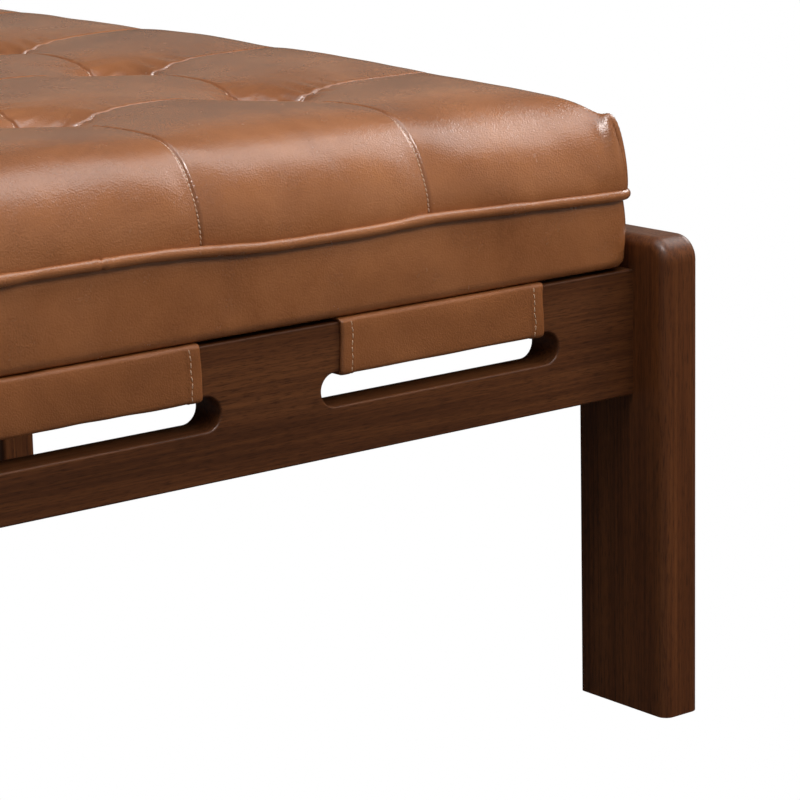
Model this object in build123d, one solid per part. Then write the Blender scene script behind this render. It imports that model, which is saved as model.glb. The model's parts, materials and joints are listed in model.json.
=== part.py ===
from build123d import *
import os

# Ottoman coffee table: four slab legs, slotted rails with leather straps round their bridges, and a
# square leather cushion quilted in pillows. Millimetres, +Z up. The origin is on the floor at the
# centre of the plan. X runs along the front rail, and the front faces -Y.

# Plan and legs
overall_length = 1016.0
overall_width = 1016.0
leg_height = 361.0
leg_thickness = 35.0
leg_depth = 94.0
leg_edge_round = 8.0
leg_back_corner_radius = 4.0
leg_shoulder_radius = 18.0

# Felt pads under the legs
pad_thickness = 2.0
pad_margin = 7.0

# Front and back rails, which butt against the legs' inner faces
rail_setback = 33.5
rail_thickness = 30.0
rail_height = 93.0
rail_drop = 25.0
rail_edge_round = 1.5
slot_count = 3
slot_end_margin = 72.0
slot_height = 23.5
slot_gap = 83.0
slot_lift = 35.0

# Side rails, which butt against the legs' back faces
side_rail_thickness = 30.0
side_rail_height = 66.0

# Leather straps round the bridge of wood above each slot
strap_end_gap = 15.5
strap_thickness = 2.2
strap_corner_radius = 2.0

# Dowels in the rail joints
dowel_radius = 4.0
dowel_length = 40.0
dowel_margin = 15.0
side_dowel_margin = 11.0
side_dowel_spacing = 22.0

# Corner blocks, the bolts that draw the legs to them, and the screws that hold them to the rails
block_reach = 75.0
block_height = 36.0
block_nose = 12.0
bolt_radius = 4.0
bolt_length = 62.0
bolt_head_radius = 6.5
bolt_head_height = 5.3
bolt_from_rail = 16.0
bolt_lift = 22.0
washer_radius = 8.0
washer_thickness = 1.6
insert_radius = 6.0
insert_length = 22.0
screw_radius = 2.0
screw_head_radius = 4.0
screw_head_height = 2.4
block_screw_from_corner = 58.0
block_screw_grip = 12.0
block_screw_bite = 16.0
block_screw_lift = 7.0

# Ledgers on the side rails and battens across the frame, which carry the cushion's seat panel
ledger_width = 22.0
ledger_height = 22.0
ledger_end_gap = 3.0
ledger_screw_count = 4
ledger_screw_bite = 15.0
batten_width = 60.0
batten_height = 20.0
batten_screw_count = 3
batten_screw_bite = 9.0

# Steel angle brackets that hang the battens from the rails
bracket_width = 30.0
bracket_reach = 27.0
bracket_thickness = 2.0
bracket_screw_bite = 13.0
bracket_screw_from_corner = 16.0

# Cushion: seat panel, foam, band, welt and quilted top
cushion_leg_gap = 3.0
cushion_setback = 31.0
cushion_corner_radius = 18.0
panel_thickness = 12.0
leather_thickness = 1.5
tuck_width = 25.0
cover_thickness = 0.8
cover_hem_gap = 0.5
welt_lift = 58.8
welt_radius = 3.2
band_bottom_round = 7.0
seam_rise = 72.5
crown_rise = 1.5
pillow_rise = 2.5
tuft_dip = 30.0
pillow_count = 5
edge_pillow_length = 185.0
edge_pillow_width = 192.0
edge_roll = 75.0
roll_exponent = 2.6
tie_radius = 1.5
tie_button_radius = 8.0
tie_button_thickness = 1.5

# One clearance for holes and loose pieces, and one overrun for every cut
clearance = 0.3
overrun = 5.0

# Shares of the edge roll at which the quilted top has a point or a section, from its face inwards, and
# the share of the rise that the roll has at its face
roll_shares = [0.965, 0.87, 0.7, 0.47, 0.2]
roll_face_share = 0.24

# Levels
rail_top = leg_height - rail_drop
rail_bottom = rail_top - rail_height
slot_bottom = rail_bottom + slot_lift
slot_top = slot_bottom + slot_height
cushion_bottom = rail_top + strap_thickness
panel_bottom = cushion_bottom + leather_thickness
panel_top = panel_bottom + panel_thickness
welt_level = cushion_bottom + welt_lift
batten_top = panel_bottom - cover_thickness
batten_bottom = batten_top - batten_height
block_bottom = rail_top - block_height
bolt_level = block_bottom + bolt_lift
block_screw_level = block_bottom + block_screw_lift

# Places in the plan
leg_inner_x = overall_length / 2 - leg_thickness
leg_inner_y = overall_width / 2 - leg_depth
rail_front_y = overall_width / 2 - rail_setback
rail_back_y = rail_front_y - rail_thickness
ledger_inner_x = leg_inner_x - ledger_width
ledger_half_length = rail_back_y - block_reach - ledger_end_gap
bolt_y = rail_back_y - bolt_from_rail
bolt_tip_x = leg_inner_x + insert_length
bolt_seat_x = bolt_tip_x - bolt_length
slot_length = (leg_inner_x * 2 - slot_end_margin * 2 - slot_gap * (slot_count - 1)) / slot_count
strap_width = slot_length - strap_end_gap * 2
slot_pitch = slot_length + slot_gap
slot_centres = [(index - (slot_count - 1) / 2) * slot_pitch for index in range(slot_count)]
batten_centres = [(left + right) / 2 for left, right in zip(slot_centres, slot_centres[1:])]
cushion_length = (leg_inner_x - cushion_leg_gap) * 2
cushion_width = overall_width - cushion_setback * 2
pillow_pitch_x = (cushion_length - edge_pillow_length * 2) / (pillow_count - 2)
pillow_pitch_y = (cushion_width - edge_pillow_width * 2) / (pillow_count - 2)
seams_x = [(index - pillow_count / 2) * pillow_pitch_x for index in range(1, pillow_count)]
seams_y = [(index - pillow_count / 2) * pillow_pitch_y for index in range(1, pillow_count)]

# Screw lengths, each its grip and its bite
block_screw_length = block_screw_grip + block_screw_bite
ledger_screw_length = ledger_width + ledger_screw_bite
batten_screw_length = batten_height + cover_thickness + batten_screw_bite
bracket_screw_length = bracket_thickness + bracket_screw_bite

sides = {"left": -1, "right": 1}
faces = {"front": -1, "back": 1}
low_end = (Align.CENTER, Align.CENTER, Align.MIN)


# Plain shapes
def slab(x_low, x_high, y_low, y_high, z_low, z_high):
    """A rectangular block between the given limits."""
    centre = Pos((x_low + x_high) / 2, (y_low + y_high) / 2, (z_low + z_high) / 2)
    return centre * Box(x_high - x_low, y_high - y_low, z_high - z_low)


def rod(start, direction, radius, length):
    """A round bar from a point, along a direction."""
    return Plane(origin=start, z_dir=direction) * Cylinder(radius, length, align=low_end)


def screw(place, length):
    """A countersunk screw whose head is flush with its seat, for a place given as seat and direction."""
    seat, direction = place
    head = Cone(screw_head_radius, screw_radius, screw_head_height, align=low_end)
    shank = Cylinder(screw_radius, length, align=low_end)
    return Plane(origin=seat, z_dir=direction) * (head + shank)


def screw_hole(place, length, mouth=overrun):
    """The hole for a screw, with room all round it and its countersink open for a mouth's length."""
    seat, direction = place
    sink = Cone(screw_head_radius + clearance, screw_radius + clearance, screw_head_height, align=low_end)
    shank = Cylinder(screw_radius + clearance, length + clearance, align=low_end)
    entry = rod(Vector(0, 0, -mouth), Vector(0, 0, 1), screw_head_radius + clearance, mouth)
    return Plane(origin=seat, z_dir=direction) * (sink + shank + entry)


def mirrored(body, sx, sy):
    """A body made for the right and back side, moved to the side that the signs give."""
    if sx < 0:
        body = mirror(body, Plane.YZ)
    if sy < 0:
        body = mirror(body, Plane.XZ)
    return body


def rounded_plate(half_x, half_y, radius, bottom, top):
    """A plate with rounded corners, centred on the origin's axis."""
    return extrude(Pos(0, 0, bottom) * RectangleRounded(half_x * 2, half_y * 2, radius), top - bottom)


# Places of dowels, screws and bolts, shared by the pieces that they join. Each is a point and a direction.
def rail_dowels(sx, sy):
    """The dowels of one corner, centred on the joints: two into each of its rails."""
    rail_mid = (rail_front_y + rail_back_y) / 2
    side_mid = leg_inner_x + side_rail_thickness / 2
    side_level = rail_top - side_rail_height + side_dowel_margin
    places = [(Vector(sx * leg_inner_x, sy * rail_mid, level), Vector(sx, 0, 0))
              for level in (rail_bottom + dowel_margin, rail_top - dowel_margin)]
    places += [(Vector(sx * side_mid, sy * leg_inner_y, level), Vector(0, sy, 0))
               for level in (side_level, side_level + side_dowel_spacing)]
    return places


def dowel_bar(place, room=0):
    """One dowel, or with room round it the hole that it fits."""
    centre, direction = place
    half = dowel_length / 2 + room
    return rod(centre - direction * half, direction, dowel_radius + room, half * 2)


def block_screws(sx, sy):
    """One corner block's screws: one into each rail."""
    along_x = leg_inner_x - block_screw_from_corner
    along_y = rail_back_y - block_screw_from_corner
    seat_x = leg_inner_x - block_screw_grip
    seat_y = rail_back_y - block_screw_grip
    return [(Vector(sx * along_x, sy * seat_y, block_screw_level), Vector(0, sy, 0)),
            (Vector(sx * seat_x, sy * along_y, block_screw_level), Vector(sx, 0, 0))]


def ledger_screws(sx):
    """One ledger's screws, evenly spaced along it."""
    level = cushion_bottom - ledger_height / 2
    step = ledger_half_length * 2 / ledger_screw_count
    return [(Vector(sx * ledger_inner_x, (index + 1 / 2) * step - ledger_half_length, level), Vector(sx, 0, 0))
            for index in range(ledger_screw_count)]


def batten_screws(centre):
    """One batten's screws, evenly spaced along it and driven up into the seat panel."""
    step = rail_back_y * 2 / batten_screw_count
    return [(Vector(centre, (index + 1 / 2) * step - rail_back_y, batten_bottom), Vector(0, 0, 1))
            for index in range(batten_screw_count)]


def bracket_screws(centre, sy):
    """One bracket's screws: one into the rail and one into the batten."""
    rail_seat = Vector(centre, sy * (rail_back_y - bracket_thickness), batten_bottom - bracket_screw_from_corner)
    batten_seat = Vector(centre, sy * (rail_back_y - bracket_screw_from_corner), batten_bottom - bracket_thickness)
    return [(rail_seat, Vector(0, sy, 0)), (batten_seat, Vector(0, 0, 1))]


# Frame
def on_broad_rim(edge):
    """Whether an edge of the leg's block runs round a broad face, up its outer corner and over its top."""
    middle = edge.center()
    along_depth = abs(middle.X - (leg_inner_x + leg_thickness / 2)) > leg_thickness / 2 - clearance
    above_foot = middle.Z > pad_thickness + clearance
    return along_depth and above_foot and middle.Y > leg_inner_y + clearance


def leg():
    """The right back leg: one round along its outer corners, shoulder and top, and eased back corners."""
    half_x = overall_length / 2
    half_y = overall_width / 2
    body = slab(leg_inner_x, half_x, leg_inner_y, half_y, pad_thickness, leg_height)
    top_edges = body.edges().filter_by(Axis.X).group_by(Axis.Z)[-1]
    body = fillet(top_edges.sort_by(Axis.Y)[-1], leg_shoulder_radius)
    broad_rims = body.edges().filter_by(on_broad_rim)
    body = fillet(broad_rims, leg_edge_round)
    back_corners = body.edges().filter_by(Axis.Z).group_by(Axis.Y)[0]
    body = fillet(back_corners, leg_back_corner_radius)
    body -= [dowel_bar(place, clearance) for place in rail_dowels(1, 1)]
    insert_mouth = Vector(leg_inner_x - overrun, bolt_y, bolt_level)
    return body - rod(insert_mouth, Vector(1, 0, 0), insert_radius + clearance, insert_length + overrun + clearance)


def foot_pad():
    """The felt pad under the right back leg."""
    x_low = leg_inner_x + pad_margin
    y_low = leg_inner_y + pad_margin
    x_high = overall_length / 2 - pad_margin
    y_high = overall_width / 2 - pad_margin
    return slab(x_low, x_high, y_low, y_high, 0, pad_thickness)


def on_slot_rim(edge):
    """Whether an edge of the rail runs round the mouth of a slot."""
    middle = edge.center()
    beside_slot = slot_bottom - clearance < middle.Z < slot_top + clearance
    through_rail = rail_back_y + rail_edge_round < middle.Y < rail_front_y - rail_edge_round
    at_rail_end = abs(middle.X) > leg_inner_x - rail_edge_round
    return beside_slot and not through_rail and not at_rail_end


def slotted_rail():
    """The back rail, with its slots, eased edges and holes."""
    body = slab(-leg_inner_x, leg_inner_x, rail_back_y, rail_front_y, rail_bottom, rail_top)
    body = fillet(body.edges().filter_by(Axis.X), rail_edge_round)
    slot_level = (slot_bottom + slot_top) / 2
    for centre in slot_centres:
        outline = Plane(origin=(centre, rail_back_y - overrun, slot_level), x_dir=(1, 0, 0), z_dir=(0, 1, 0))
        cutter = extrude(outline * SlotOverall(slot_length, slot_height), rail_thickness + overrun * 2)
        body -= cutter
    body = fillet(body.edges().filter_by(on_slot_rim), rail_edge_round)
    body -= [dowel_bar(place, clearance) for sx in sides.values() for place in rail_dowels(sx, 1)]
    body -= [screw_hole(place, block_screw_length) for sx in sides.values() for place in block_screws(sx, 1)]
    for centre in batten_centres:
        body -= screw_hole(bracket_screws(centre, 1)[0], bracket_screw_length)
    return body


def side_rail():
    """The right side rail, with eased edges and holes."""
    outer_x = leg_inner_x + side_rail_thickness
    body = slab(leg_inner_x, outer_x, -leg_inner_y, leg_inner_y, rail_top - side_rail_height, rail_top)
    body = fillet(body.edges().filter_by(Axis.Y), rail_edge_round)
    for sy in faces.values():
        body -= [dowel_bar(place, clearance) for place in rail_dowels(1, sy)]
        body -= [screw_hole(place, block_screw_length) for place in block_screws(1, sy)]
    return body - [screw_hole(place, ledger_screw_length) for place in ledger_screws(1)]


def corner_block():
    """The right back corner block, with its bolt hole and screw holes."""
    corner = (leg_inner_x, rail_back_y)
    nose_x = leg_inner_x - block_reach
    nose_y = rail_back_y - block_reach
    outline = Polyline(corner, (nose_x, rail_back_y), (nose_x, rail_back_y - block_nose),
                       (leg_inner_x - block_nose, nose_y), (leg_inner_x, nose_y), close=True)
    body = extrude(Pos(0, 0, block_bottom) * make_face(outline), block_height)
    axis = Vector(1, 0, 0)
    bore_start = Vector(nose_x - overrun, bolt_y, bolt_level)
    body -= rod(bore_start, axis, bolt_radius + clearance, block_reach + overrun * 2)
    body -= rod(bore_start, axis, washer_radius + clearance, bolt_seat_x - nose_x + overrun)
    return body - [screw_hole(place, block_screw_length, block_reach) for place in block_screws(1, 1)]


def leg_bolt(sx, sy):
    """One corner's hexagon-headed bolt, its washer and its threaded insert."""
    axis = Vector(sx, 0, 0)
    seat = Vector(sx * bolt_seat_x, sy * bolt_y, bolt_level)
    head_seat = seat - axis * washer_thickness
    flats = extrude(RegularPolygon(bolt_head_radius, 6, major_radius=False), bolt_head_height)
    bolt = Plane(origin=head_seat - axis * bolt_head_height, z_dir=axis) * flats
    bolt += rod(head_seat, axis, bolt_radius, bolt_length + washer_thickness - clearance)
    washer = rod(head_seat, axis, washer_radius, washer_thickness)
    washer -= rod(seat - axis * overrun, axis, bolt_radius + clearance, overrun * 2)
    mouth = Vector(sx * leg_inner_x, sy * bolt_y, bolt_level)
    insert = rod(mouth, axis, insert_radius, insert_length)
    insert -= rod(mouth - axis * overrun, axis, bolt_radius + clearance, insert_length + overrun * 2)
    return bolt, washer, insert


def ledger():
    """The right ledger, which carries one end of the cushion."""
    body = slab(ledger_inner_x, leg_inner_x, -ledger_half_length, ledger_half_length,
                cushion_bottom - ledger_height, cushion_bottom)
    return body - [screw_hole(place, ledger_screw_length) for place in ledger_screws(1)]


def batten(centre):
    """One batten under the seat panel, from rail to rail."""
    half = batten_width / 2
    body = slab(centre - half, centre + half, -rail_back_y, rail_back_y, batten_bottom, batten_top)
    body -= [screw_hole(place, batten_screw_length) for place in batten_screws(centre)]
    return body - [screw_hole(bracket_screws(centre, sy)[1], bracket_screw_length) for sy in faces.values()]


def bracket(centre, sy):
    """One angle bracket in the corner between a batten and a rail."""
    half = bracket_width / 2
    inner_y = rail_back_y - bracket_reach
    outline = Polyline((rail_back_y, batten_bottom), (inner_y, batten_bottom),
                       (inner_y, batten_bottom - bracket_thickness),
                       (rail_back_y - bracket_thickness, batten_bottom - bracket_thickness),
                       (rail_back_y - bracket_thickness, batten_bottom - bracket_reach),
                       (rail_back_y, batten_bottom - bracket_reach), close=True)
    side_view = Plane(origin=(centre - half, 0, 0), x_dir=(0, 1, 0), z_dir=(1, 0, 0))
    body = mirrored(extrude(side_view * make_face(outline), bracket_width), 1, sy)
    return body - [screw_hole(place, bracket_screw_length) for place in bracket_screws(centre, sy)]


def strap(centre):
    """One leather strap, wrapped round the bridge of wood above a slot of the back rail."""
    half = strap_width / 2
    outer = slab(centre - half, centre + half, rail_back_y - strap_thickness, rail_front_y + strap_thickness,
                 slot_top - strap_thickness, rail_top + strap_thickness)
    outer = fillet(outer.edges().filter_by(Axis.X), strap_corner_radius)
    return outer - slab(centre - half - overrun, centre + half + overrun, rail_back_y, rail_front_y,
                        slot_top, rail_top)


# Cushion
half_length = cushion_length / 2
half_width = cushion_width / 2
inner_corner_radius = cushion_corner_radius - leather_thickness
tie_places = [(x, y) for x in seams_x for y in seams_y]


def welt_tube(room=0):
    """The welt's closed ring, or with room round it the groove that it lies in."""
    path = Pos(0, 0, welt_level) * RectangleRounded(cushion_length, cushion_width, cushion_corner_radius).wire()
    section = Plane(origin=(0, -half_width, welt_level), x_dir=(0, 1, 0), z_dir=(1, 0, 0))
    return sweep(section * Circle(welt_radius + room), path=path)


def tie_holes(bottom, top):
    """The holes for the tie cords between two levels."""
    return [rod(Vector(x, y, bottom - overrun), Vector(0, 0, 1), tie_radius + clearance, top - bottom + overrun * 2)
            for x, y in tie_places]


def seat_panel():
    """The plywood panel, eased below and drilled for the tie cords, with seats for their buttons."""
    body = rounded_plate(half_length - leather_thickness, half_width - leather_thickness, inner_corner_radius,
                         panel_bottom, panel_top)
    rim = body.edges().group_by(Axis.Z)[0]
    body = fillet(rim, band_bottom_round - leather_thickness)
    body -= tie_holes(panel_bottom, panel_top)
    body -= [rod(Vector(x, y, panel_bottom - overrun), Vector(0, 0, 1), tie_button_radius + clearance,
                 overrun + tie_button_thickness) for x, y in tie_places]
    for centre in batten_centres:
        body -= [screw_hole(place, batten_screw_length) for place in batten_screws(centre)]
    return body


def foam_core(groove):
    """The foam between the seat panel and the quilted top."""
    body = rounded_plate(half_length - leather_thickness, half_width - leather_thickness, inner_corner_radius,
                         panel_top, welt_level)
    return body - groove - tie_holes(panel_top, welt_level)


def boxing_band(groove):
    """The leather band below the welt, turned under the seat panel's edge."""
    outer = rounded_plate(half_length, half_width, cushion_corner_radius, cushion_bottom, welt_level)
    outer = fillet(outer.edges().group_by(Axis.Z)[0], band_bottom_round)
    inner = rounded_plate(half_length - leather_thickness, half_width - leather_thickness, inner_corner_radius,
                          panel_bottom, welt_level + overrun)
    inner = fillet(inner.edges().group_by(Axis.Z)[0], band_bottom_round - leather_thickness)
    mouth_x = half_length - tuck_width
    mouth_y = half_width - tuck_width
    mouth = slab(-mouth_x, mouth_x, -mouth_y, mouth_y, cushion_bottom - overrun, panel_bottom + overrun)
    return outer - inner - mouth - groove


def dust_cover():
    """The cloth under the seat panel, inside the edge of the turned-under leather."""
    half_x = half_length - tuck_width - cover_hem_gap
    half_y = half_width - tuck_width - cover_hem_gap
    body = slab(-half_x, half_x, -half_y, half_y, batten_top, panel_bottom)
    for centre in batten_centres:
        body -= [screw_hole(place, batten_screw_length) for place in batten_screws(centre)]
    return body


def tie_cord(x, y):
    """One tie cord from a tuft to its button, which lies in the seat panel's underside."""
    up = Vector(0, 0, 1)
    button_seat = panel_bottom + tie_button_thickness
    cord = rod(Vector(x, y, panel_bottom), up, tie_radius, welt_level - panel_bottom)
    return cord + rod(Vector(x, y, panel_bottom), up, tie_button_radius, button_seat - panel_bottom)


def roll_height(share):
    """The share of the rise that the cushion's rolled edge keeps at a share of its roll, 1 at its face."""
    return max((1 - share ** roll_exponent) ** (1 / roll_exponent), roll_face_share)


def cell(place, half, seams):
    """How far a place lies from the middle of its pillow, from 0 to 1 at a seam."""
    last_seam = seams[-1]
    if abs(place) > last_seam:
        half_pillow = (half - last_seam) / 2
        return max(0, (last_seam + half_pillow - abs(place)) / half_pillow)
    half_pitch = (seams[1] - seams[0]) / 2
    middle = min((seam + half_pitch for seam in seams[:-1]), key=lambda mid: abs(mid - place))
    return abs(place - middle) / half_pitch


def top_level(x, y, rise_share):
    """The height of the quilted top at a place, where its edge roll keeps a share of the rise."""
    across = cell(x, half_length, seams_x) ** 2
    along = cell(y, half_width, seams_y) ** 2
    crown = crown_rise * (1 - (x / half_length) ** 2) * (1 - (y / half_width) ** 2)
    pillow = pillow_rise * (1 - across) * (1 - along) - tuft_dip * across * along
    return welt_level + (seam_rise + crown + pillow) * rise_share


def span(start, middle, end):
    """An arc through three points, or a line where they are in line."""
    chord = Line(start, end)
    if chord.distance_to(Vertex(*middle)) < clearance / 10:
        return chord
    return ThreePointArc(start, middle, end)


def top_section(y, row_share):
    """The quilted top's section across the cushion, in the row where the edge roll keeps row_share."""
    inset = max(0, abs(y) - half_width + cushion_corner_radius)
    half_x = half_length - cushion_corner_radius + (cushion_corner_radius ** 2 - inset ** 2) ** (1 / 2)
    outer_mid = (seams_x[-1] + half_length) / 2
    quarter = (seams_x[-1] + outer_mid) / 2
    rolled = [(half_x, roll_face_share)]
    rolled += [(half_x - edge_roll * (1 - share), roll_height(share)) for share in roll_shares]
    places = rolled + [(outer_mid, 1), (quarter, 1)]
    right = [(x, top_level(x, y, min(row_share, share))) for x, share in places]
    middles = [seam - pillow_pitch_x / 2 for seam in seams_x[1:]]
    inner = sorted(seams_x + middles)
    crest = [(x, top_level(x, y, row_share)) for x in inner]
    left = [(-x, level) for x, level in right]
    points = [(x, y, level) for x, level in left + crest + right[::-1]]
    edges = [span(*points[index:index + 3]) for index in range(0, len(points) - 2, 2)]
    base = [(-half_x, y, welt_level), (half_x, y, welt_level)]
    edges += [Line(base[0], points[0]), Line(points[-1], base[1]), Line(base[1], base[0])]
    return make_face(Wire(edges))


def edge_row_stations():
    """The sections from the cushion's face to its first seam, as places from the middle and shares kept."""
    stations = [(half_width, roll_face_share)]
    stations += [(half_width - edge_roll * (1 - share), roll_height(share)) for share in roll_shares]
    middle = (seams_y[-1] + half_width) / 2
    stations += [(middle, 1), ((middle + seams_y[-1]) / 2, 1), (seams_y[-1], 1)]
    return stations


def quilted_top(groove):
    """The quilted top: one loft for each row of pillows, joined along the tufted seams."""
    outer = edge_row_stations()
    front = loft([top_section(-y, share) for y, share in outer], ruled=True)
    back = loft([top_section(y, share) for y, share in outer], ruled=True)
    quarters = [index / 4 for index in range(5)]
    rows = [loft([top_section(start + pillow_pitch_y * share, 1) for share in quarters])
            for start in seams_y[:-1]]
    return front + rows + back - groove


# Write one file for each named piece
def pieces():
    """Every named piece of the table."""
    named = {}
    corner_leg = leg()
    pad = foot_pad()
    block = corner_block()
    rail = slotted_rail()
    end_rail = side_rail()
    end_ledger = ledger()
    bolts, washers, inserts, dowels, blocking = [], [], [], [], []
    for face, sy in faces.items():
        named[face + "_rail"] = mirrored(rail, 1, sy)
        for index, centre in enumerate(slot_centres):
            named[face + "_strap_" + str(index + 1)] = mirrored(strap(centre), 1, sy)
        for index, centre in enumerate(batten_centres):
            named[face + "_bracket_" + str(index + 1)] = bracket(centre, sy)
        for side, sx in sides.items():
            corner = "_" + face + "_" + side
            named["leg" + corner] = mirrored(corner_leg, sx, sy)
            named["foot_pad" + corner] = mirrored(pad, sx, sy)
            named["corner_block" + corner] = mirrored(block, sx, sy)
            bolt, washer, insert = leg_bolt(sx, sy)
            bolts.append(bolt)
            washers.append(washer)
            inserts.append(insert)
            dowels += [dowel_bar(place) for place in rail_dowels(sx, sy)]
            blocking += [screw(place, block_screw_length) for place in block_screws(sx, sy)]
    for side, sx in sides.items():
        named["side_rail_" + side] = mirrored(end_rail, sx, 1)
        named["ledger_" + side] = mirrored(end_ledger, sx, 1)
    for index, centre in enumerate(batten_centres):
        named["batten_" + str(index + 1)] = batten(centre)
    groove = welt_tube(clearance)
    named["seat_panel"] = seat_panel()
    named["foam_core"] = foam_core(groove)
    named["boxing_band"] = boxing_band(groove)
    named["quilted_top"] = quilted_top(groove)
    named["welt"] = welt_tube()
    named["dust_cover"] = dust_cover()
    named["tie_cords"] = Compound([tie_cord(x, y) for x, y in tie_places])
    named["leg_bolts"] = Compound(bolts)
    named["bolt_washers"] = Compound(washers)
    named["leg_inserts"] = Compound(inserts)
    named["rail_dowels"] = Compound(dowels)
    named["block_screws"] = Compound(blocking)
    named["ledger_screws"] = Compound([screw(place, ledger_screw_length)
                                       for sx in sides.values() for place in ledger_screws(sx)])
    named["batten_screws"] = Compound([screw(place, batten_screw_length)
                                       for centre in batten_centres for place in batten_screws(centre)])
    named["bracket_screws"] = Compound([screw(place, bracket_screw_length) for centre in batten_centres
                                        for sy in faces.values() for place in bracket_screws(centre, sy)])
    return named


os.makedirs("parts", exist_ok=True)
for name, shape in pieces().items():
    export_step(shape, "parts/" + name + ".step")
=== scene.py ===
"""The looks of an ottoman coffee table: a quilted leather cushion on a slotted walnut frame.

Metres throughout, +Z up, the origin on the floor at the centre of the plan, and the front facing -Y.
The frame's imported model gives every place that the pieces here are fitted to.
"""
from __future__ import annotations

import json
import logging
import math
from dataclasses import dataclass
from enum import Enum
from typing import Sequence

import bpy
import numpy as np
from mathutils import Matrix, Vector

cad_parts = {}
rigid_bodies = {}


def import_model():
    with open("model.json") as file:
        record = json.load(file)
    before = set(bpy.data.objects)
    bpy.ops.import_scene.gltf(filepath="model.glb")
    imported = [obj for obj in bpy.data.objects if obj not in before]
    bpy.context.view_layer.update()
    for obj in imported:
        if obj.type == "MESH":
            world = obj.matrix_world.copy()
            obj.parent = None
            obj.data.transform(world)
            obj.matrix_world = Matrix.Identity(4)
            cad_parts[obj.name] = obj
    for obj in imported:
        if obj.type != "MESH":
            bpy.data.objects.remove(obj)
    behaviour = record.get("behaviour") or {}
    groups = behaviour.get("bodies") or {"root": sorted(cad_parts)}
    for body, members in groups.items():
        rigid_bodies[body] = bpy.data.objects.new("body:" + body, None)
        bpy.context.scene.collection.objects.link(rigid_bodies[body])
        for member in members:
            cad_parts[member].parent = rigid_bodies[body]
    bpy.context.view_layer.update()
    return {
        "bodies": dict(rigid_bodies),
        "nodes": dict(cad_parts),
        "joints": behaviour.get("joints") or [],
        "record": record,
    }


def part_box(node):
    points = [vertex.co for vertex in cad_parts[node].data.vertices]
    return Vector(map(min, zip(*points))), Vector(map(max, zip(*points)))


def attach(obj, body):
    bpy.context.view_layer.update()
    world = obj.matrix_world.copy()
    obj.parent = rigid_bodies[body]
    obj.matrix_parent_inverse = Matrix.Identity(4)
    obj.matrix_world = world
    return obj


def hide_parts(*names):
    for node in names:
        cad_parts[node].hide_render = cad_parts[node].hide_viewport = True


LOG = logging.getLogger("ottoman")
BODY = "root"
MM = 0.001
NEAR_ZERO = 1e-9
NEAR_ZERO_AREA = 1e-12

Triple = tuple[float, float, float]
Colour = tuple[float, float, float]
Stops = Sequence[tuple[float, Colour]]


class Axis(Enum):
    """A direction of the table, as the place of its coordinate."""

    X = 0
    Y = 1
    Z = 2


class Side(Enum):
    """The front and the back of the table, as the sign of Y."""

    FRONT = -1
    BACK = 1


# Mesh helpers
def make_object(name: str, points: np.ndarray, faces: Sequence[Sequence[int]]) -> bpy.types.Object:
    """Makes a smooth-shaded mesh object.

    Args:
        name: The piece's name.
        points: One row for each vertex.
        faces: The vertex numbers of each face.

    Returns:
        The object, linked to the scene.
    """
    mesh = bpy.data.meshes.new(name)
    mesh.from_pydata(points.tolist(), [], faces)
    mesh.polygons.foreach_set("use_smooth", [True] * len(mesh.polygons))
    mesh.update()
    piece = bpy.data.objects.new(name, mesh)
    bpy.context.scene.collection.objects.link(piece)
    return piece


def grid_faces(rows: int, columns: int, ring_rows: bool = False,
               ring_columns: bool = False) -> list[list[int]]:
    """Lists the quads of a grid of points.

    Args:
        rows: How many rows the grid has.
        columns: How many points a row has.
        ring_rows: Whether the last row joins the first.
        ring_columns: Whether the last column joins the first.

    Returns:
        Four vertex numbers for each quad.
    """
    row_starts = np.arange(rows if ring_rows else rows - 1)
    column_starts = np.arange(columns if ring_columns else columns - 1)
    row, column = np.meshgrid(row_starts, column_starts, indexing="ij")
    next_row = (row + 1) % rows
    next_column = (column + 1) % columns
    corners = [row * columns + column, row * columns + next_column,
               next_row * columns + next_column, next_row * columns + column]
    return np.stack(corners, axis=-1).reshape(-1, 4).tolist()


def grid_object(name: str, points: np.ndarray, ring_rows: bool = False,
                ring_columns: bool = False) -> bpy.types.Object:
    """Makes an object from a grid of points, given as rows, columns and coordinates."""
    rows, columns = points.shape[:2]
    return make_object(name, points.reshape(-1, 3), grid_faces(rows, columns, ring_rows, ring_columns))


def grid_normals(points: np.ndarray) -> np.ndarray:
    """Works out the unit normals of a grid of points from its neighbours.

    Args:
        points: Rows, columns and coordinates.

    Returns:
        One unit vector for each point.
    """
    along = np.gradient(points, axis=1)
    across = np.gradient(points, axis=0)
    normals = np.cross(along, across)
    return normals / np.maximum(np.linalg.norm(normals, axis=2, keepdims=True), NEAR_ZERO_AREA)


@dataclass(frozen=True)
class Waver:
    """Slow seeded waviness: a sum of plane waves in many directions."""

    seed: int
    wavelength: float
    count: int = 9
    shortest: float = 0.7
    longest: float = 1.5

    def at(self, points: np.ndarray) -> np.ndarray:
        """Works out the waviness at points.

        Args:
            points: Coordinates in the last axis.

        Returns:
            Values of about -1 to 1, one for each point.
        """
        source = np.random.default_rng(self.seed)
        total = np.zeros(points.shape[:-1])
        for _ in range(self.count):
            direction = source.normal(size=3)
            direction /= np.linalg.norm(direction)
            pitch = self.wavelength * source.uniform(self.shortest, self.longest)
            phase = source.uniform(0, math.tau)
            total += np.sin(points @ direction * (math.tau / pitch) + phase)
        return total / math.sqrt(self.count)


@dataclass(frozen=True)
class Stitch:
    """The make of a row of stitches: its pitch, and each strand's length, radius and slant."""

    pitch: float
    length: float
    radius: float
    slant: float


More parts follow.
